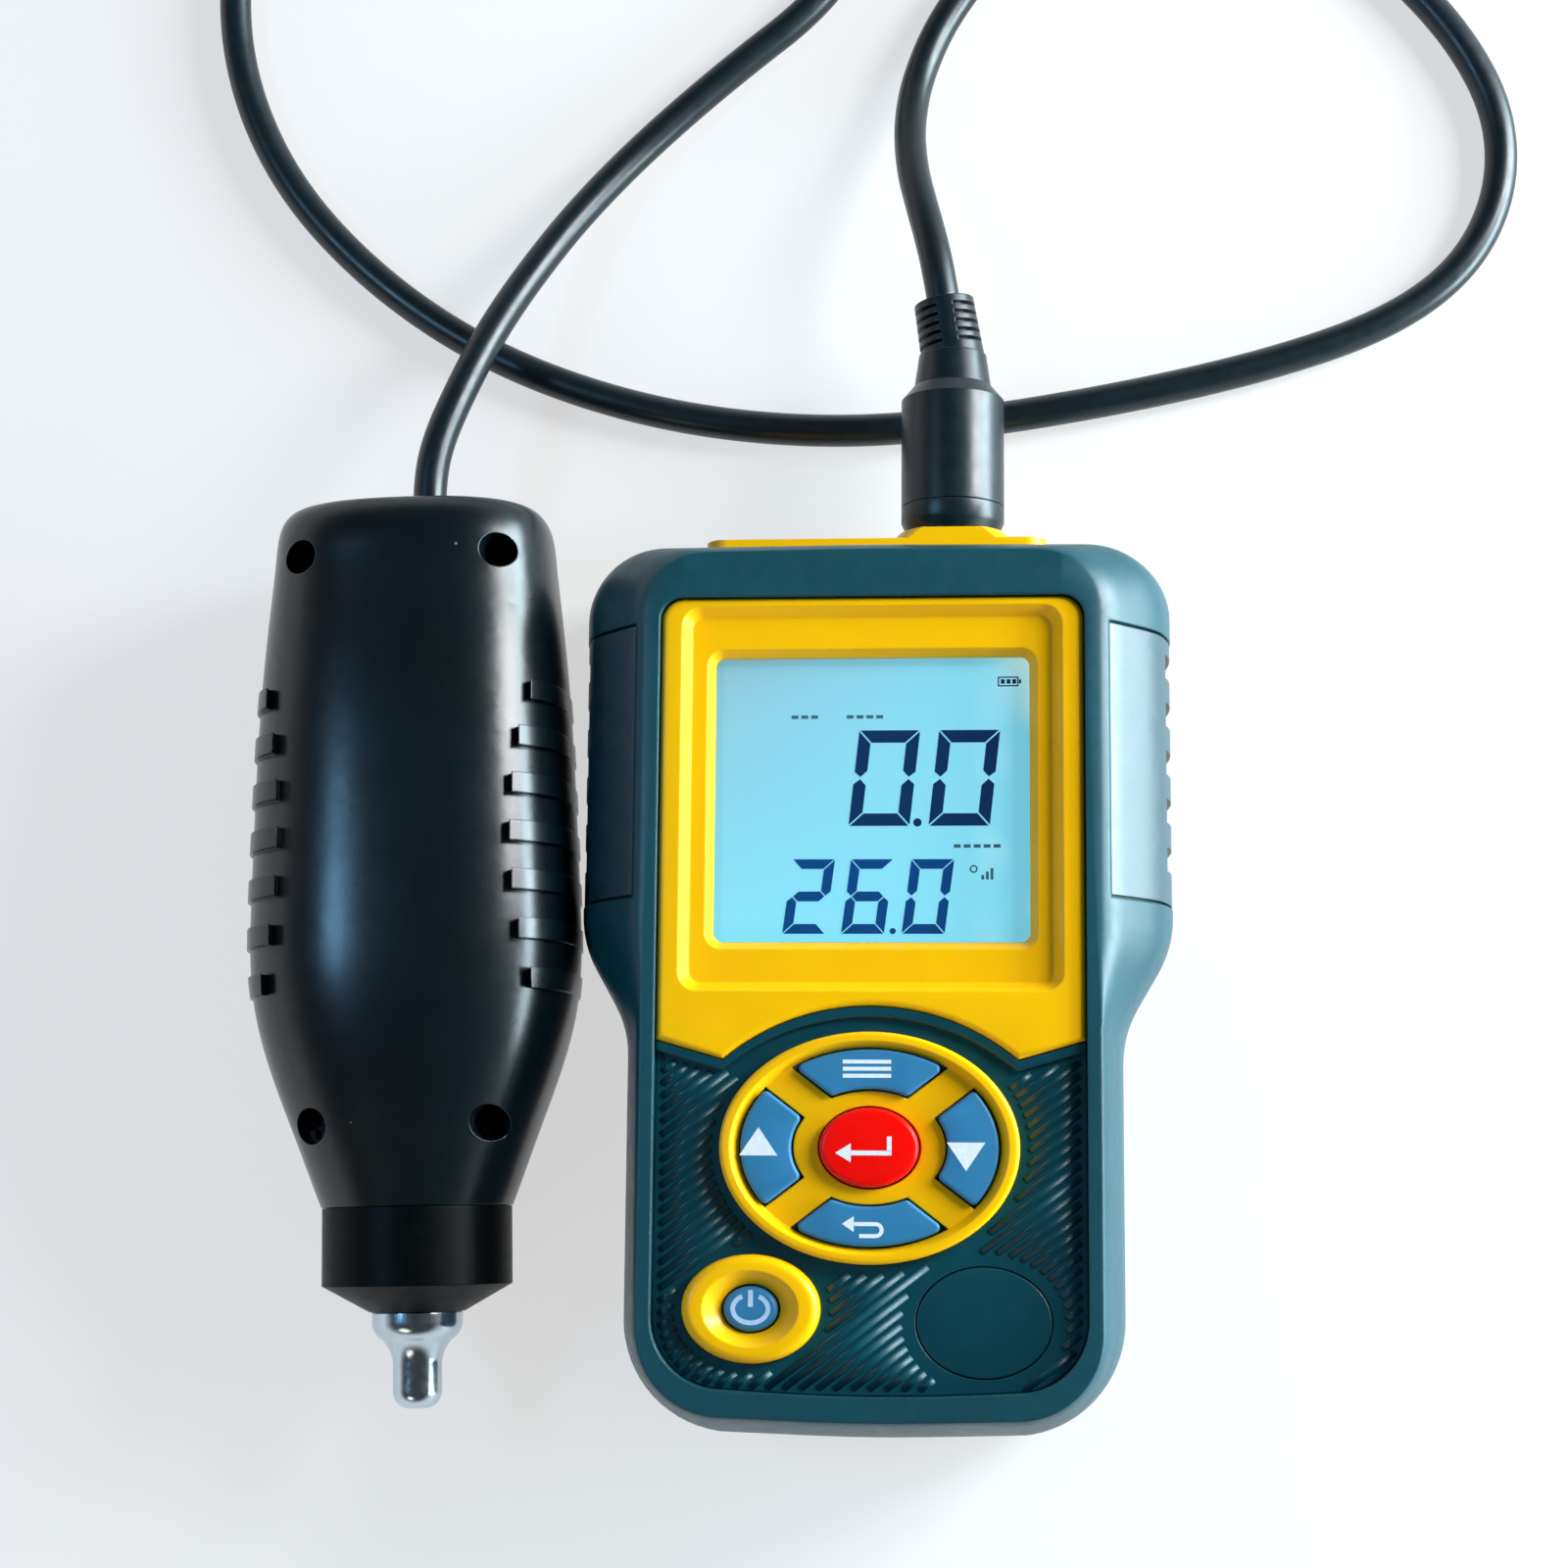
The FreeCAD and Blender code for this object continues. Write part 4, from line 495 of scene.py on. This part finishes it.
def all_materials():
    return {
        "boot_rubber": moulded("boot_rubber", linear(0, 66, 77), 0.42, edge_wear_and_highlight=0.12, edge_mm=0.45,
                               specular=0.55),
        "grip_rubber": moulded("grip_rubber", linear(9, 56, 68), 0.44, grain_mm=0.5, grain_depth=0.012,
                               specular=1.0),
        "case_plastic": moulded("case_plastic", linear(8, 32, 38), 0.5, grain_mm=0.4, grain_depth=0.012),
        "yellow_plastic": moulded("yellow_plastic", linear(255, 188, 0), 0.3, mottle=0.04, specular=0.3,
                                  edge_wear_and_highlight_colour=linear(255, 222, 70), edge_wear_and_highlight=0.3, edge_mm=0.35),
        "panel_plastic": moulded("panel_plastic", linear(0, 62, 74), 0.36, grain_depth=0.004,
                                 specular=0.35),
        # the keys' strongly paler edges are mostly a painted edge highlight, with some wear
        "key_blue": moulded("key_blue", linear(48, 122, 166), 0.42, mottle=0.06, edge_wear_and_highlight=0.6,
                            specular=0.4, edge_wear_and_highlight_colour=linear(160, 200, 222), edge_mm=0.35),
        "key_red": moulded("key_red", linear(250, 8, 0), 0.3, mottle=0.05, specular=0.25,
                           edge_wear_and_highlight_colour=linear(255, 100, 60), edge_mm=0.4),
        # painted darker than the probe's plastic: painted shade, for the shadow the nose lies in
        "nose_black_painted_shade": moulded("nose_black_painted_shade", linear(1, 4, 5), 0.42, grain_depth=0.004, specular=0.1,
                              edge_wear_and_highlight=0.08),
        "lens_clear": clear_window(),
        "display_glass": display_glow(),
        "light_guide": moulded("light_guide", linear(240, 242, 244), 0.3),
        "board_green": moulded("board_green", linear(28, 92, 52), 0.4),
        "silicone_grey": moulded("silicone_grey", linear(120, 122, 126), 0.6),
        "black_plastic": moulded("black_plastic", linear(6, 24, 30), 0.34, grain_depth=0.004),
        "probe_plastic": dusty_plastic("probe_plastic", linear(3, 15, 20), 0.27),
        "black_cable": moulded("black_cable", linear(6, 22, 28), 0.34, grain_mm=0.6, grain_depth=0.008,
                               edge_wear_and_highlight=0.0),
        "steel": metal("steel", linear(168, 170, 174), 0.32),
        "bright_steel": metal("bright_steel", linear(196, 212, 222), 0.2, lathe_mm=0.35),
        "black_steel": metal("black_steel", linear(34, 34, 38), 0.4),
        "nickel_contact": metal("nickel_contact", linear(196, 190, 176), 0.25),
        "cell_jacket": moulded("cell_jacket", linear(92, 98, 104), 0.3),
        "ink_white": printed("ink_white", linear(236, 242, 246)),
        "ink_pale_blue": printed("ink_pale_blue", linear(186, 212, 240)),
        "segment_navy": printed("segment_navy", linear(0, 54, 104), 0.3),
        "segment_blue": printed("segment_blue", linear(0, 78, 146), 0.3),
        "segment_grey": printed("segment_grey", linear(70, 116, 134), 0.3),
    }


# ===== CAD nodes that stay ==========================================================================
def smoothing_group():
    """Geometry nodes that shade a faceted mesh smooth, except across sharp edges."""
    group = bpy.data.node_groups.new("smooth_by_angle", "GeometryNodeTree")
    group.interface.new_socket("Geometry", in_out="INPUT", socket_type="NodeSocketGeometry")
    group.interface.new_socket("Geometry", in_out="OUTPUT", socket_type="NodeSocketGeometry")
    entry = group.nodes.new("NodeGroupInput")
    leave = group.nodes.new("NodeGroupOutput")
    merge = group.nodes.new("GeometryNodeMergeByDistance")
    merge.inputs["Distance"].default_value = MERGE_DISTANCE * MM
    angle = group.nodes.new("GeometryNodeInputMeshEdgeAngle")
    sharp = group.nodes.new("FunctionNodeCompare")
    sharp.data_type = "FLOAT"
    sharp.operation = "GREATER_THAN"
    sharp.inputs["B"].default_value = SHARP_ANGLE
    faces = group.nodes.new("GeometryNodeSetShadeSmooth")
    edges = group.nodes.new("GeometryNodeSetShadeSmooth")
    edges.domain = "EDGE"
    edges.inputs["Shade Smooth"].default_value = False
    links = group.links
    links.new(entry.outputs[0], merge.inputs["Geometry"])
    links.new(merge.outputs["Geometry"], faces.inputs["Geometry"])
    links.new(angle.outputs["Unsigned Angle"], sharp.inputs["A"])
    links.new(faces.outputs["Geometry"], edges.inputs["Geometry"])
    links.new(sharp.outputs["Result"], edges.inputs["Selection"])
    links.new(edges.outputs["Geometry"], leave.inputs[0])
    return group


def dress_nodes(frame, materials):
    """Every CAD node takes its slot's material, or its own, and smooth shading."""
    slots = {entry["node"]: entry["material_slot"] for entry in frame["record"]["subparts"]}
    group = smoothing_group()
    for name, obj in frame["nodes"].items():
        dress(obj, materials[OWN_MATERIAL.get(name, slots[name])])
        modifier = obj.modifiers.new("smooth", "NODES")
        modifier.node_group = group


# ===== cable ========================================================================================
def coil_points():
    """Control points of the turns: one outer turn, part of an inner one, then a turn on top."""
    cx, cy = COIL_CENTRE
    points = []
    count = round(COIL_SWEEP / COIL_STEP)
    for i in range(count):
        turned = COIL_SWEEP * i / count
        angle = math.radians(COIL_START_ANGLE - turned)
        inward = smooth_step(turned, *COIL_INWARD)
        climb = smooth_step(turned, *COIL_CLIMB)
        radius = COIL_OUTER + (COIL_INNER - COIL_OUTER) * inward + (COIL_UPPER - COIL_INNER) * climb
        z = COIL_FLOOR_Z + (COIL_UPPER_Z - COIL_FLOOR_Z) * climb
        points.append((cx + radius * math.cos(angle), cy + radius * math.sin(angle), z))
    return points


def smooth_step(value, low, high):
    share = min(1.0, max(0.0, (value - low) / (high - low)))
    return share * share * (3 - 2 * share)


def spline_curve(name, points):
    curve = bpy.data.curves.new(name, "CURVE")
    curve.dimensions = "3D"
    curve.resolution_u = SPLINE_STEPS
    spline = curve.splines.new("NURBS")
    spline.points.add(len(points) - 1)
    for place, point in zip(spline.points, points):
        place.co = (*metres(point), 1.0)
    spline.order_u = 3
    spline.use_endpoint_u = True
    return add_object(name, curve)


def mesh_of(obj, name):
    mesh = bpy.data.meshes.new_from_object(obj)
    mesh.name = name
    bpy.data.objects.remove(obj)
    return mesh


def cable_line(points):
    """The points' spline as places along it, each with a ring of the cable's surface round it."""
    line = mesh_of(spline_curve("cable_line", points), "cable_line")
    path = [vertex.co.copy() for vertex in line.vertices]
    angles = [2 * math.pi * i / TUBE_SIDES for i in range(TUBE_SIDES)]
    side = (path[1] - path[0]).orthogonal()
    pairs = []
    for behind, place, ahead in zip(path[:1] + path, path, path[1:] + path[-1:]):
        forward = (ahead - behind).normalized()
        side = (side - forward * side.dot(forward)).normalized()
        upright = forward.cross(side)
        ways = [side * math.cos(angle) + upright * math.sin(angle) for angle in angles]
        pairs.append((place, [place + way * (CABLE_D / 2 * MM) for way in ways]))
    return pairs


def tube_mesh(name, rings):
    """Closed smooth tube through these rings, with flat ends."""
    bm = bmesh.new()
    loops = [[bm.verts.new(place) for place in ring] for ring in rings]
    for a, b in zip(loops, loops[1:]):
        join_loops(bm, a, b)
    bm.faces.new(loops[0])
    bm.faces.new(loops[-1])
    tube = mesh_object(name, bm)
    for face in tube.data.polygons:
        face.use_smooth = len(face.vertices) == 4
    return tube


def path_length(path):
    return sum((b - a).length for a, b in zip(path, path[1:]))


def make_stretch(name, line, material, nodes):
    """One stretch of the cable, which hides these CAD nodes and stands in their place."""
    path = [place for place, ring in line]
    tube = tube_mesh(name, [ring for place, ring in line])
    dress(tube, material)
    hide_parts(*nodes)
    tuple(path[0])
    path_length(path)
    return tube


def make_cables(materials):
    """The plug's lead, the loop and coil after it, and the probe's side.

    The loop comes back level with the lead, so only a piece of its own can lie still there. Both
    follow the one spline."""
    material = materials["black_cable"]
    line = cable_line(PLUG_ROUTE[:-1] + tuple(coil_points()) + (CABLE_JOIN,))
    cut = next(i for i, (place, ring) in enumerate(line) if place.y > LEAD_TOP_Y * MM)
    lead = make_stretch("cable_at_plug", line[:cut + 1], material, ["cable_plug_side"])
    metres(PLUG_SWAY_START)
    metres(PLUG_SWAY_END)
    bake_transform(lead)
    tie = make_tie(materials["black_plastic"])
    loop = make_stretch("cable_from_plug", line[cut:], material, ["cable_plug_side", "cable_coil"])
    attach(loop, "meter")
    line = cable_line(PROBE_ROUTE + (CABLE_JOIN,))
    side = make_stretch("cable_from_probe", line, material, ["cable_probe_side"])
    metres(PROBE_SWAY_START)
    metres(PROBE_SWAY_END)
    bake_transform(side)


def strap_outline(radius):
    """Outline, in the plane across the turns, of a strap drawn tight over their middle lines."""
    middles = [(COIL_OUTER, COIL_FLOOR_Z), (COIL_INNER, COIL_FLOOR_Z), (COIL_UPPER, COIL_UPPER_Z)]
    outline = []
    for i in range(TIE_POINTS):
        angle = 2 * math.pi * i / TIE_POINTS
        c, s = math.cos(angle), math.sin(angle)
        middle_r, middle_z = max((r * c + z * s, (r, z)) for r, z in middles)[1]
        outline.append((middle_r + radius * c, max(TIE_LOW_Z, middle_z + radius * s)))
    return outline


def make_tie(material):
    """Flat strap round the bundle of turns."""
    bm = bmesh.new()
    inside, outside = CABLE_D / 2 + TIE_INSIDE, CABLE_D / 2 + TIE_OUTSIDE
    loops = []
    for radius, x in ((inside, -TIE_HALF), (outside, -TIE_HALF), (outside, TIE_HALF), (inside, TIE_HALF)):
        loop = [bm.verts.new(metres((COIL_CENTRE[0] + x, COIL_CENTRE[1] + r, z)))
                for r, z in strap_outline(radius)]
        loops.append(loop)
    for a, b in zip(loops, loops[1:] + loops[:1]):
        join_loops(bm, a, b)
    tie = mesh_object("coil_tie", bm)
    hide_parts("cable_tie")
    finish_piece(tie, "meter", material)
    return tie


# ===== flat marks: display segments and key symbols =================================================
def plate(bm, outline, base_z, thick):
    """Adds a thin plate with this outline, a list of (x, y), to the mesh."""
    low = [bm.verts.new(metres((x, y, base_z))) for x, y in outline]
    high = [bm.verts.new(metres((x, y, base_z + thick))) for x, y in outline]
    bm.faces.new(list(reversed(low)))
    bm.faces.new(high)
    join_loops(bm, low, high)


def band(bm, inner, outer, base_z, thick):
    """Adds a thin band between two open outlines with the same number of points."""
    rings = []
    for z in (base_z, base_z + thick):
        for line in (inner, outer):
            rings.append([bm.verts.new(metres((x, y, z))) for x, y in line])
    low_in, low_out, high_in, high_out = rings
    for a, b in ((low_in, low_out), (high_out, high_in), (high_in, low_in), (low_out, high_out)):
        for i in range(len(a) - 1):
            bm.faces.new((a[i], a[i + 1], b[i + 1], b[i]))
    for i in (0, -1):
        bm.faces.new((low_in[i], low_out[i], high_out[i], high_in[i]))


def arc_band(bm, centre, axes, width, start, end, base_z, thick, count=40):
    """A thin band along an ellipse, from one angle to another, in degrees."""
    angles = [math.radians(start + (end - start) * i / count) for i in range(count + 1)]
    cx, cy = centre
    lines = []
    for grow in (-width / 2, width / 2):
        across, along = axes[0] + grow, axes[1] + grow
        lines.append([(cx + across * math.cos(a), cy + along * math.sin(a)) for a in angles])
    band(bm, *lines, base_z, thick)


def rectangle(x0, x1, y0, y1):
    return [(x0, y0), (x1, y0), (x1, y1), (x0, y1)]


def dot(centre, radius, count=20):
    return [(centre[0] + radius * math.cos(2 * math.pi * i / count),
             centre[1] + radius * math.sin(2 * math.pi * i / count)) for i in range(count)]


def segment_outlines(w, h, t, g):
    """The seven segments of a digit w wide and h high, with stroke t and gap g between them."""
    middle = h / 2
    top = [(g, h), (w - g, h), (w - t - g, h - t), (t + g, h - t)]
    upper_left = [(0, h - g), (t, h - t - g), (t, middle + t / 2 + g), (t / 2, middle + g),
                  (0, middle + t / 2)]
    centre = [(t / 2 + g, middle), (t + g, middle + t / 2), (w - t - g, middle + t / 2),
              (w - t / 2 - g, middle), (w - t - g, middle - t / 2), (t + g, middle - t / 2)]

    def flip_x(outline):
        return [(w - x, y) for x, y in reversed(outline)]

    def flip_y(outline):
        return [(x, h - y) for x, y in reversed(outline)]

    return {
        "a": top,
        "b": flip_x(upper_left),
        "c": flip_x(flip_y(upper_left)),
        "d": flip_y(top),
        "e": flip_y(upper_left),
        "f": upper_left,
        "g": centre,
    }


def add_digit(bm, digit, place, size, stroke, gap, slant):
    outlines = segment_outlines(*size, stroke, gap)
    for key in LIT_SEGMENTS[digit]:
        outline = [(place[0] + x + slant * y, place[1] + y) for x, y in outlines[key]]
        plate(bm, outline, MARK_BASE, MARK_THICK)


def lit_number(digits, y, style, point):
    """One row of lit digits and its decimal point."""
    bm = bmesh.new()
    for digit, x in digits:
        add_digit(bm, digit, (x, y), **style)
    plate(bm, dot(*point), MARK_BASE, MARK_THICK)
    return bm


def finish_marks(name, bm, material):
    finish_piece(mesh_object(name, bm, False), "meter", material)


def make_display_marks(materials):
    """Lit digits and small plain marks on the display."""
    faint = bmesh.new()
    for outline in dash_outlines() + level_outlines():
        plate(faint, outline, MARK_BASE, FAINT_THICK)
    arc_band(faint, *RING_MARK, MARK_BASE, FAINT_THICK)
    dark = bmesh.new()
    for outline in battery_outlines():
        plate(dark, outline, MARK_BASE, MARK_THICK)
    upper = lit_number(UPPER_DIGITS, UPPER_Y, UPPER_STYLE, UPPER_POINT)
    lower = lit_number(LOWER_DIGITS, LOWER_Y, LOWER_STYLE, LOWER_POINT)
    finish_marks("display_upper_digits", upper, materials["segment_navy"])
    finish_marks("display_lower_digits", lower, materials["segment_blue"])
    finish_marks("display_faint_marks", faint, materials["segment_grey"])
    finish_marks("display_battery_mark", dark, materials["segment_navy"])


def dash_outlines():
    """Rows of plain dashes above both numbers."""
    outlines = []
    for start, y, count in DASH_ROWS:
        for i in range(count):
            x = start + DASH_PITCH * i
            outlines.append(rectangle(x, x + DASH_LENGTH, y, y + DASH_THICK))
    return outlines


def level_outlines():
    """Three rising bars beside the lower number."""
    left, low = LEVEL_PLACE
    outlines = []
    for i in range(3):
        x = left + LEVEL_PITCH * i
        outlines.append(rectangle(x, x + LEVEL_WIDTH, low, low + LEVEL_SHORTEST + LEVEL_RISE * i))
    return outlines


def battery_outlines():
    """A plain battery sign: its frame, its end cap and three bars."""
    left, right, low, high, line = 16.5, 19.2, 37.8, 39.1, 0.16
    cap_gap, cap_reach, cap_inset = 0.05, 0.35, 0.4
    bar_start, bar_pitch, bar_width, bar_inset = 0.4, 0.75, 0.5, 0.35
    outlines = [
        rectangle(left, right, low, low + line),
        rectangle(left, right, high - line, high),
        rectangle(left, left + line, low + line, high - line),
        rectangle(right - line, right, low + line, high - line),
        rectangle(right + cap_gap, right + cap_reach, low + cap_inset, high - cap_inset),
    ]
    for i in range(3):
        x = left + bar_start + bar_pitch * i
        outlines.append(rectangle(x, x + bar_width, low + bar_inset, high - bar_inset))
    return outlines


def symbol(name, body, top_z, material, outlines=(), bands=()):
    bm = bmesh.new()
    for outline in outlines:
        plate(bm, outline, top_z - PRINT_SUNK, PRINT_THICK)
    for shape in bands:
        arc_band(bm, *shape, top_z - PRINT_SUNK, PRINT_THICK)
    piece = mesh_object(name, bm, False)
    finish_piece(piece, body, material)


def arrow_symbols(white):
    up = [(-16.6, -23.8), (-11.7, -23.8), (-14.15, -20.2)]
    down = [(9.9, -22.0), (12.35, -25.6), (14.8, -22.0)]
    symbol("mark_up", "up_key", KEY_TOP, white, [up])
    symbol("mark_down", "down_key", KEY_TOP, white, [down])


def list_symbol(white):
    """Three bars, one above the other."""
    left, right, thick = -3.4, 2.8, 0.5
    bars = [rectangle(left, right, y, y + thick) for y in (-13.85, -12.95, -12.05)]
    symbol("mark_list", "menu_key", KEY_TOP, white, bars)


def back_symbol(white):
    """Arrow to the left, whose tail bends round below it."""
    head = [(-3.4, -32.35), (-1.9, -33.35), (-1.9, -31.35)]
    shaft = rectangle(-1.95, 0.9, -32.6, -32.1)
    foot = rectangle(-1.2, 0.9, -34.1, -33.6)
    bend = ((0.9, -33.1), (0.75, 0.75), 0.5, -90, 90)
    symbol("mark_back", "escape_key", KEY_TOP, white, [head, shaft, foot], [bend])


def accept_symbol(white):
    """Arrow to the left, whose tail stands up at its end."""
    head = [(-4.3, -23.4), (-2.3, -24.6), (-2.3, -22.2)]
    shaft = rectangle(-2.35, 2.9, -23.7, -23.1)
    rise = rectangle(2.3, 2.9, -23.15, -21.3)
    symbol("mark_accept", "enter_key", ENTER_TOP, white, [head, shaft, rise])


def power_symbol(blue):
    """Open ring with a short stem in its gap."""
    x, y = POWER_CENTRE
    half, low, high = 0.32, 0.25, 2.35
    stem = rectangle(x - half, x + half, y + low, y + high)
    ring = (POWER_CENTRE, (2.25, 1.75), 0.6, 118, 422)
    symbol("mark_power", "power_key", POWER_TOP, blue, [stem], [ring])


def make_key_symbols(materials):
    """Plain symbols printed on the keys."""
    white = materials["ink_white"]
    arrow_symbols(white)
    list_symbol(white)
    back_symbol(white)
    accept_symbol(white)
    power_symbol(materials["ink_pale_blue"])


# ===== keypad mat ===================================================================================
def rounded_rectangle(x0, x1, y0, y1, radius, steps=6):
    outline = []
    for cx, cy, start in ((x1 - radius, y1 - radius, 0), (x0 + radius, y1 - radius, 90),
                          (x0 + radius, y0 + radius, 180), (x1 - radius, y0 + radius, 270)):
        for i in range(steps + 1):
            angle = math.radians(start + 90 * i / steps)
            outline.append((cx + radius * math.cos(angle), cy + radius * math.sin(angle)))
    return outline


def make_dome(name, place, foot_z, top_z):
    """Closed cone of silicone with a rounded top edge, its foot sunk a little into the sheet."""
    foot, top = DOME_RADII
    shoulder = DOME_SHOULDER * DOME_ROUND
    profile = ((foot, foot_z - DOME_SUNK), (top, top_z - DOME_ROUND), (top - shoulder, top_z - shoulder),
               (top - DOME_ROUND, top_z))
    bm = bmesh.new()
    rings = []
    for radius, z in profile:
        rings.append([bm.verts.new(metres((x, y, z))) for x, y in dot(place, radius, DOME_SIDES)])
    for a, b in zip(rings, rings[1:]):
        join_loops(bm, a, b)
    bm.faces.new(list(reversed(rings[0])))
    bm.faces.new(rings[-1])
    return mesh_object(name, bm)


def dome_places():
    """Middle of each key's stem."""
    x, y = PAD_CENTRE
    across, along = SIDE_KEY_REACH
    return {
        "enter": (x, y),
        "menu": (x, y + along),
        "escape": (x, y - along),
        "up": (x - across, y),
        "down": (x + across, y),
        "power": POWER_CENTRE,
    }


def finish_mat_piece(piece, material):
    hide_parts("keypad_mat")
    finish_piece(piece, "meter", material)


def make_keypad_mat(material):
    """Silicone mat: a flat sheet, and under each key a dome."""
    low, high = [Vector(corner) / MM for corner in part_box("keypad_mat")]
    sheet_top = low.z + MAT_THICK
    bm = bmesh.new()
    plate(bm, rounded_rectangle(low.x, high.x, low.y, high.y, MAT_CORNER), low.z, MAT_THICK)
    finish_mat_piece(mesh_object("keypad_sheet", bm, False), material)
    for key, place in dome_places().items():
        dome = make_dome(f"keypad_dome_{key}", place, sheet_top, high.z)
        finish_mat_piece(dome, material)
        anchor = metres((*place, sheet_top))
        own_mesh(dome)


# ===== panel ridges =================================================================================
def inside_oval(x, y, centre, axes, grow):
    return ((x - centre[0]) / (axes[0] + grow)) ** 2 + ((y - centre[1]) / (axes[1] + grow)) ** 2 < 1.0


def inside_rounded(x, y, half, low, high, corner):
    """Whether a point is inside the panel's outline, whose lower corners are round."""
    inside = (np.abs(x) < half) & (y > low) & (y < high)
    dx = np.abs(x) - (half - corner)
    dy = (low + corner) - y
    cut_off = (dx > 0) & (dy > 0) & (dx ** 2 + dy ** 2 > corner ** 2)
    return inside & ~cut_off


def below_bezel(x, y):
    """Whether a point is below the raised band that follows the bezel's lower edge."""
    tip_x, tip_y = BAND_TIP
    side_x, side_y = BAND_SIDE
    reach = np.abs(x)
    slope = tip_y + (reach - tip_x) / (side_x - tip_x) * (side_y - tip_y)
    arch = BAND_ARCH_Y + (tip_y - BAND_ARCH_Y) * (reach / tip_x) ** 2
    return y < np.where(reach > tip_x, slope, arch)


def ridge_runs(offset):
    """Stretches of one diagonal line that lie on the open part of the panel."""
    along = np.arange(-RIDGE_LINE, RIDGE_LINE, RIDGE_STEP)
    c, s = math.cos(RIDGE_ANGLE), math.sin(RIDGE_ANGLE)
    x = along * c - offset * s
    y = RIDGE_MIDDLE_Y + along * s + offset * c
    free = inside_rounded(x, y, PANEL_HALF, PANEL_LOW, PANEL_HIGH, PANEL_CORNER) & below_bezel(x, y)
    free &= ~inside_oval(x, y, PAD_CENTRE, RING_AXES, MOAT)
    free &= ~inside_oval(x, y, POWER_CENTRE, POWER_AXES, MOAT)
    free &= ~inside_oval(x, y, BLANK_CENTRE, BLANK_AXES, BLANK_MOAT)
    edges = np.flatnonzero(np.diff(np.concatenate(([0], free.astype(int), [0]))))
    for first, last in zip(edges[::2], edges[1::2]):
        if (last - first) * RIDGE_STEP > RIDGE_SHORTEST:
            yield (x[first], y[first]), (x[last - 1], y[last - 1])


def add_ridge(bm, start, end):
    """A low half-round bar between two points, sunk a little into the panel."""
    across = Vector((end[1] - start[1], start[0] - end[0], 0.0)).normalized() * RIDGE_WIDTH / 2
    rings = []
    for x, y in (start, end):
        ring = []
        for i in range(RIDGE_SIDES + 1):
            angle = math.pi * i / RIDGE_SIDES
            place = Vector((x, y, PANEL_TOP)) + across * math.cos(angle)
            place.z += RIDGE_HEIGHT * math.sin(angle)
            ring.append(bm.verts.new(place * MM))
        for side in (-1, 1):
            low = Vector((x, y, PANEL_TOP - RIDGE_SUNK)) + across * side
            ring.append(bm.verts.new(low * MM))
        rings.append(ring)
    join_loops(bm, *rings)
    for ring in rings:
        bm.faces.new(ring)


def make_ridges(material):
    """The panel's diagonal ridges, cut at the rings, the blank cap, the bezel and the panel's edge."""
    bm = bmesh.new()
    for i in range(int(2 * RIDGE_SPREAD / RIDGE_PITCH)):
        for start, end in ridge_runs(i * RIDGE_PITCH - RIDGE_SPREAD):
            add_ridge(bm, start, end)
    finish_piece(mesh_object("panel_ridges", bm), "meter", material)


# ===== stage, lights, camera ========================================================================
def make_camera():
    data = bpy.data.cameras.new("camera")
    data.lens = CAMERA_LENS
    data.sensor_width = SENSOR_WIDTH
    data.clip_start = CAMERA_NEAR * MM
    camera = add_object("camera", data)
    place, target = metres(CAMERA_PLACE), metres(CAMERA_TARGET)
    forward = (target - place).normalized()
    level = forward.cross(Vector((0, 1, 0))).normalized()
    upright = level.cross(forward)
    right = level * math.cos(CAMERA_ROLL) + upright * math.sin(CAMERA_ROLL)
    up = upright * math.cos(CAMERA_ROLL) - level * math.sin(CAMERA_ROLL)
    turn = Matrix((right, up, -forward)).transposed().to_4x4()
    camera.matrix_world = Matrix.Translation(place) @ turn
    bpy.context.scene.camera = camera


def make_table():
    bm = bmesh.new()
    bmesh.ops.create_grid(bm, x_segments=1, y_segments=1, size=TABLE_HALF * MM)
    table = mesh_object("table", bm, False)
    table.location.z = -TABLE_DROP * MM
    dress(table, table_top())


def area_light(name, place, target, size, radiance, colour):
    """A soft rectangular lamp with a given brightness of its face, whatever its size."""
    data = bpy.data.lights.new(name, "AREA")
    data.shape = "RECTANGLE"
    data.size, data.size_y = size[0] * MM, size[1] * MM
    data.energy = radiance * math.pi * data.size * data.size_y
    data.color = colour
    lamp = add_object(name, data)
    lamp.location = metres(place)
    lamp.rotation_euler = (metres(target) - metres(place)).to_track_quat("-Z", "Y").to_euler()
    lamp.visible_camera = False


def make_lights():
    """A wide low window on the right, a pane above it, a blue lamp high on the left and a warm fill."""
    for lamp in LAMPS:
        area_light(*lamp)


def make_world():
    """Sky that is white near the horizon and dim overhead."""
    world = bpy.data.worlds.new("world")
    world.use_nodes = True
    bpy.context.scene.world = world
    tree = world.node_tree
    coords = tree.nodes.new("ShaderNodeTexCoord")
    split = tree.nodes.new("ShaderNodeSeparateXYZ")
    tree.links.new(coords.outputs["Generated"], split.inputs["Vector"])
    share = tree.nodes.new("ShaderNodeMapRange")
    share.interpolation_type = "SMOOTHSTEP"
    limits = zip(("From Min", "From Max", "To Min", "To Max"), SKY_BAND + SKY_STRENGTHS)
    for socket, value in limits:
        share.inputs[socket].default_value = value
    tree.links.new(split.outputs["Z"], share.inputs["Value"])
    background = tree.nodes["Background"]
    background.inputs["Color"].default_value = SKY_COLOUR
    tree.links.new(share.outputs["Result"], background.inputs["Strength"])


def main():
    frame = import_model()
    bpy.context.scene.view_settings.view_transform = "Standard"
    make_camera()
    make_world()
    make_lights()
    make_table()
    materials = all_materials()
    dress_nodes(frame, materials)
    make_cables(materials)
    make_keypad_mat(materials["silicone_grey"])
    make_ridges(materials["panel_plastic"])
    make_display_marks(materials)
    make_key_symbols(materials)


main()
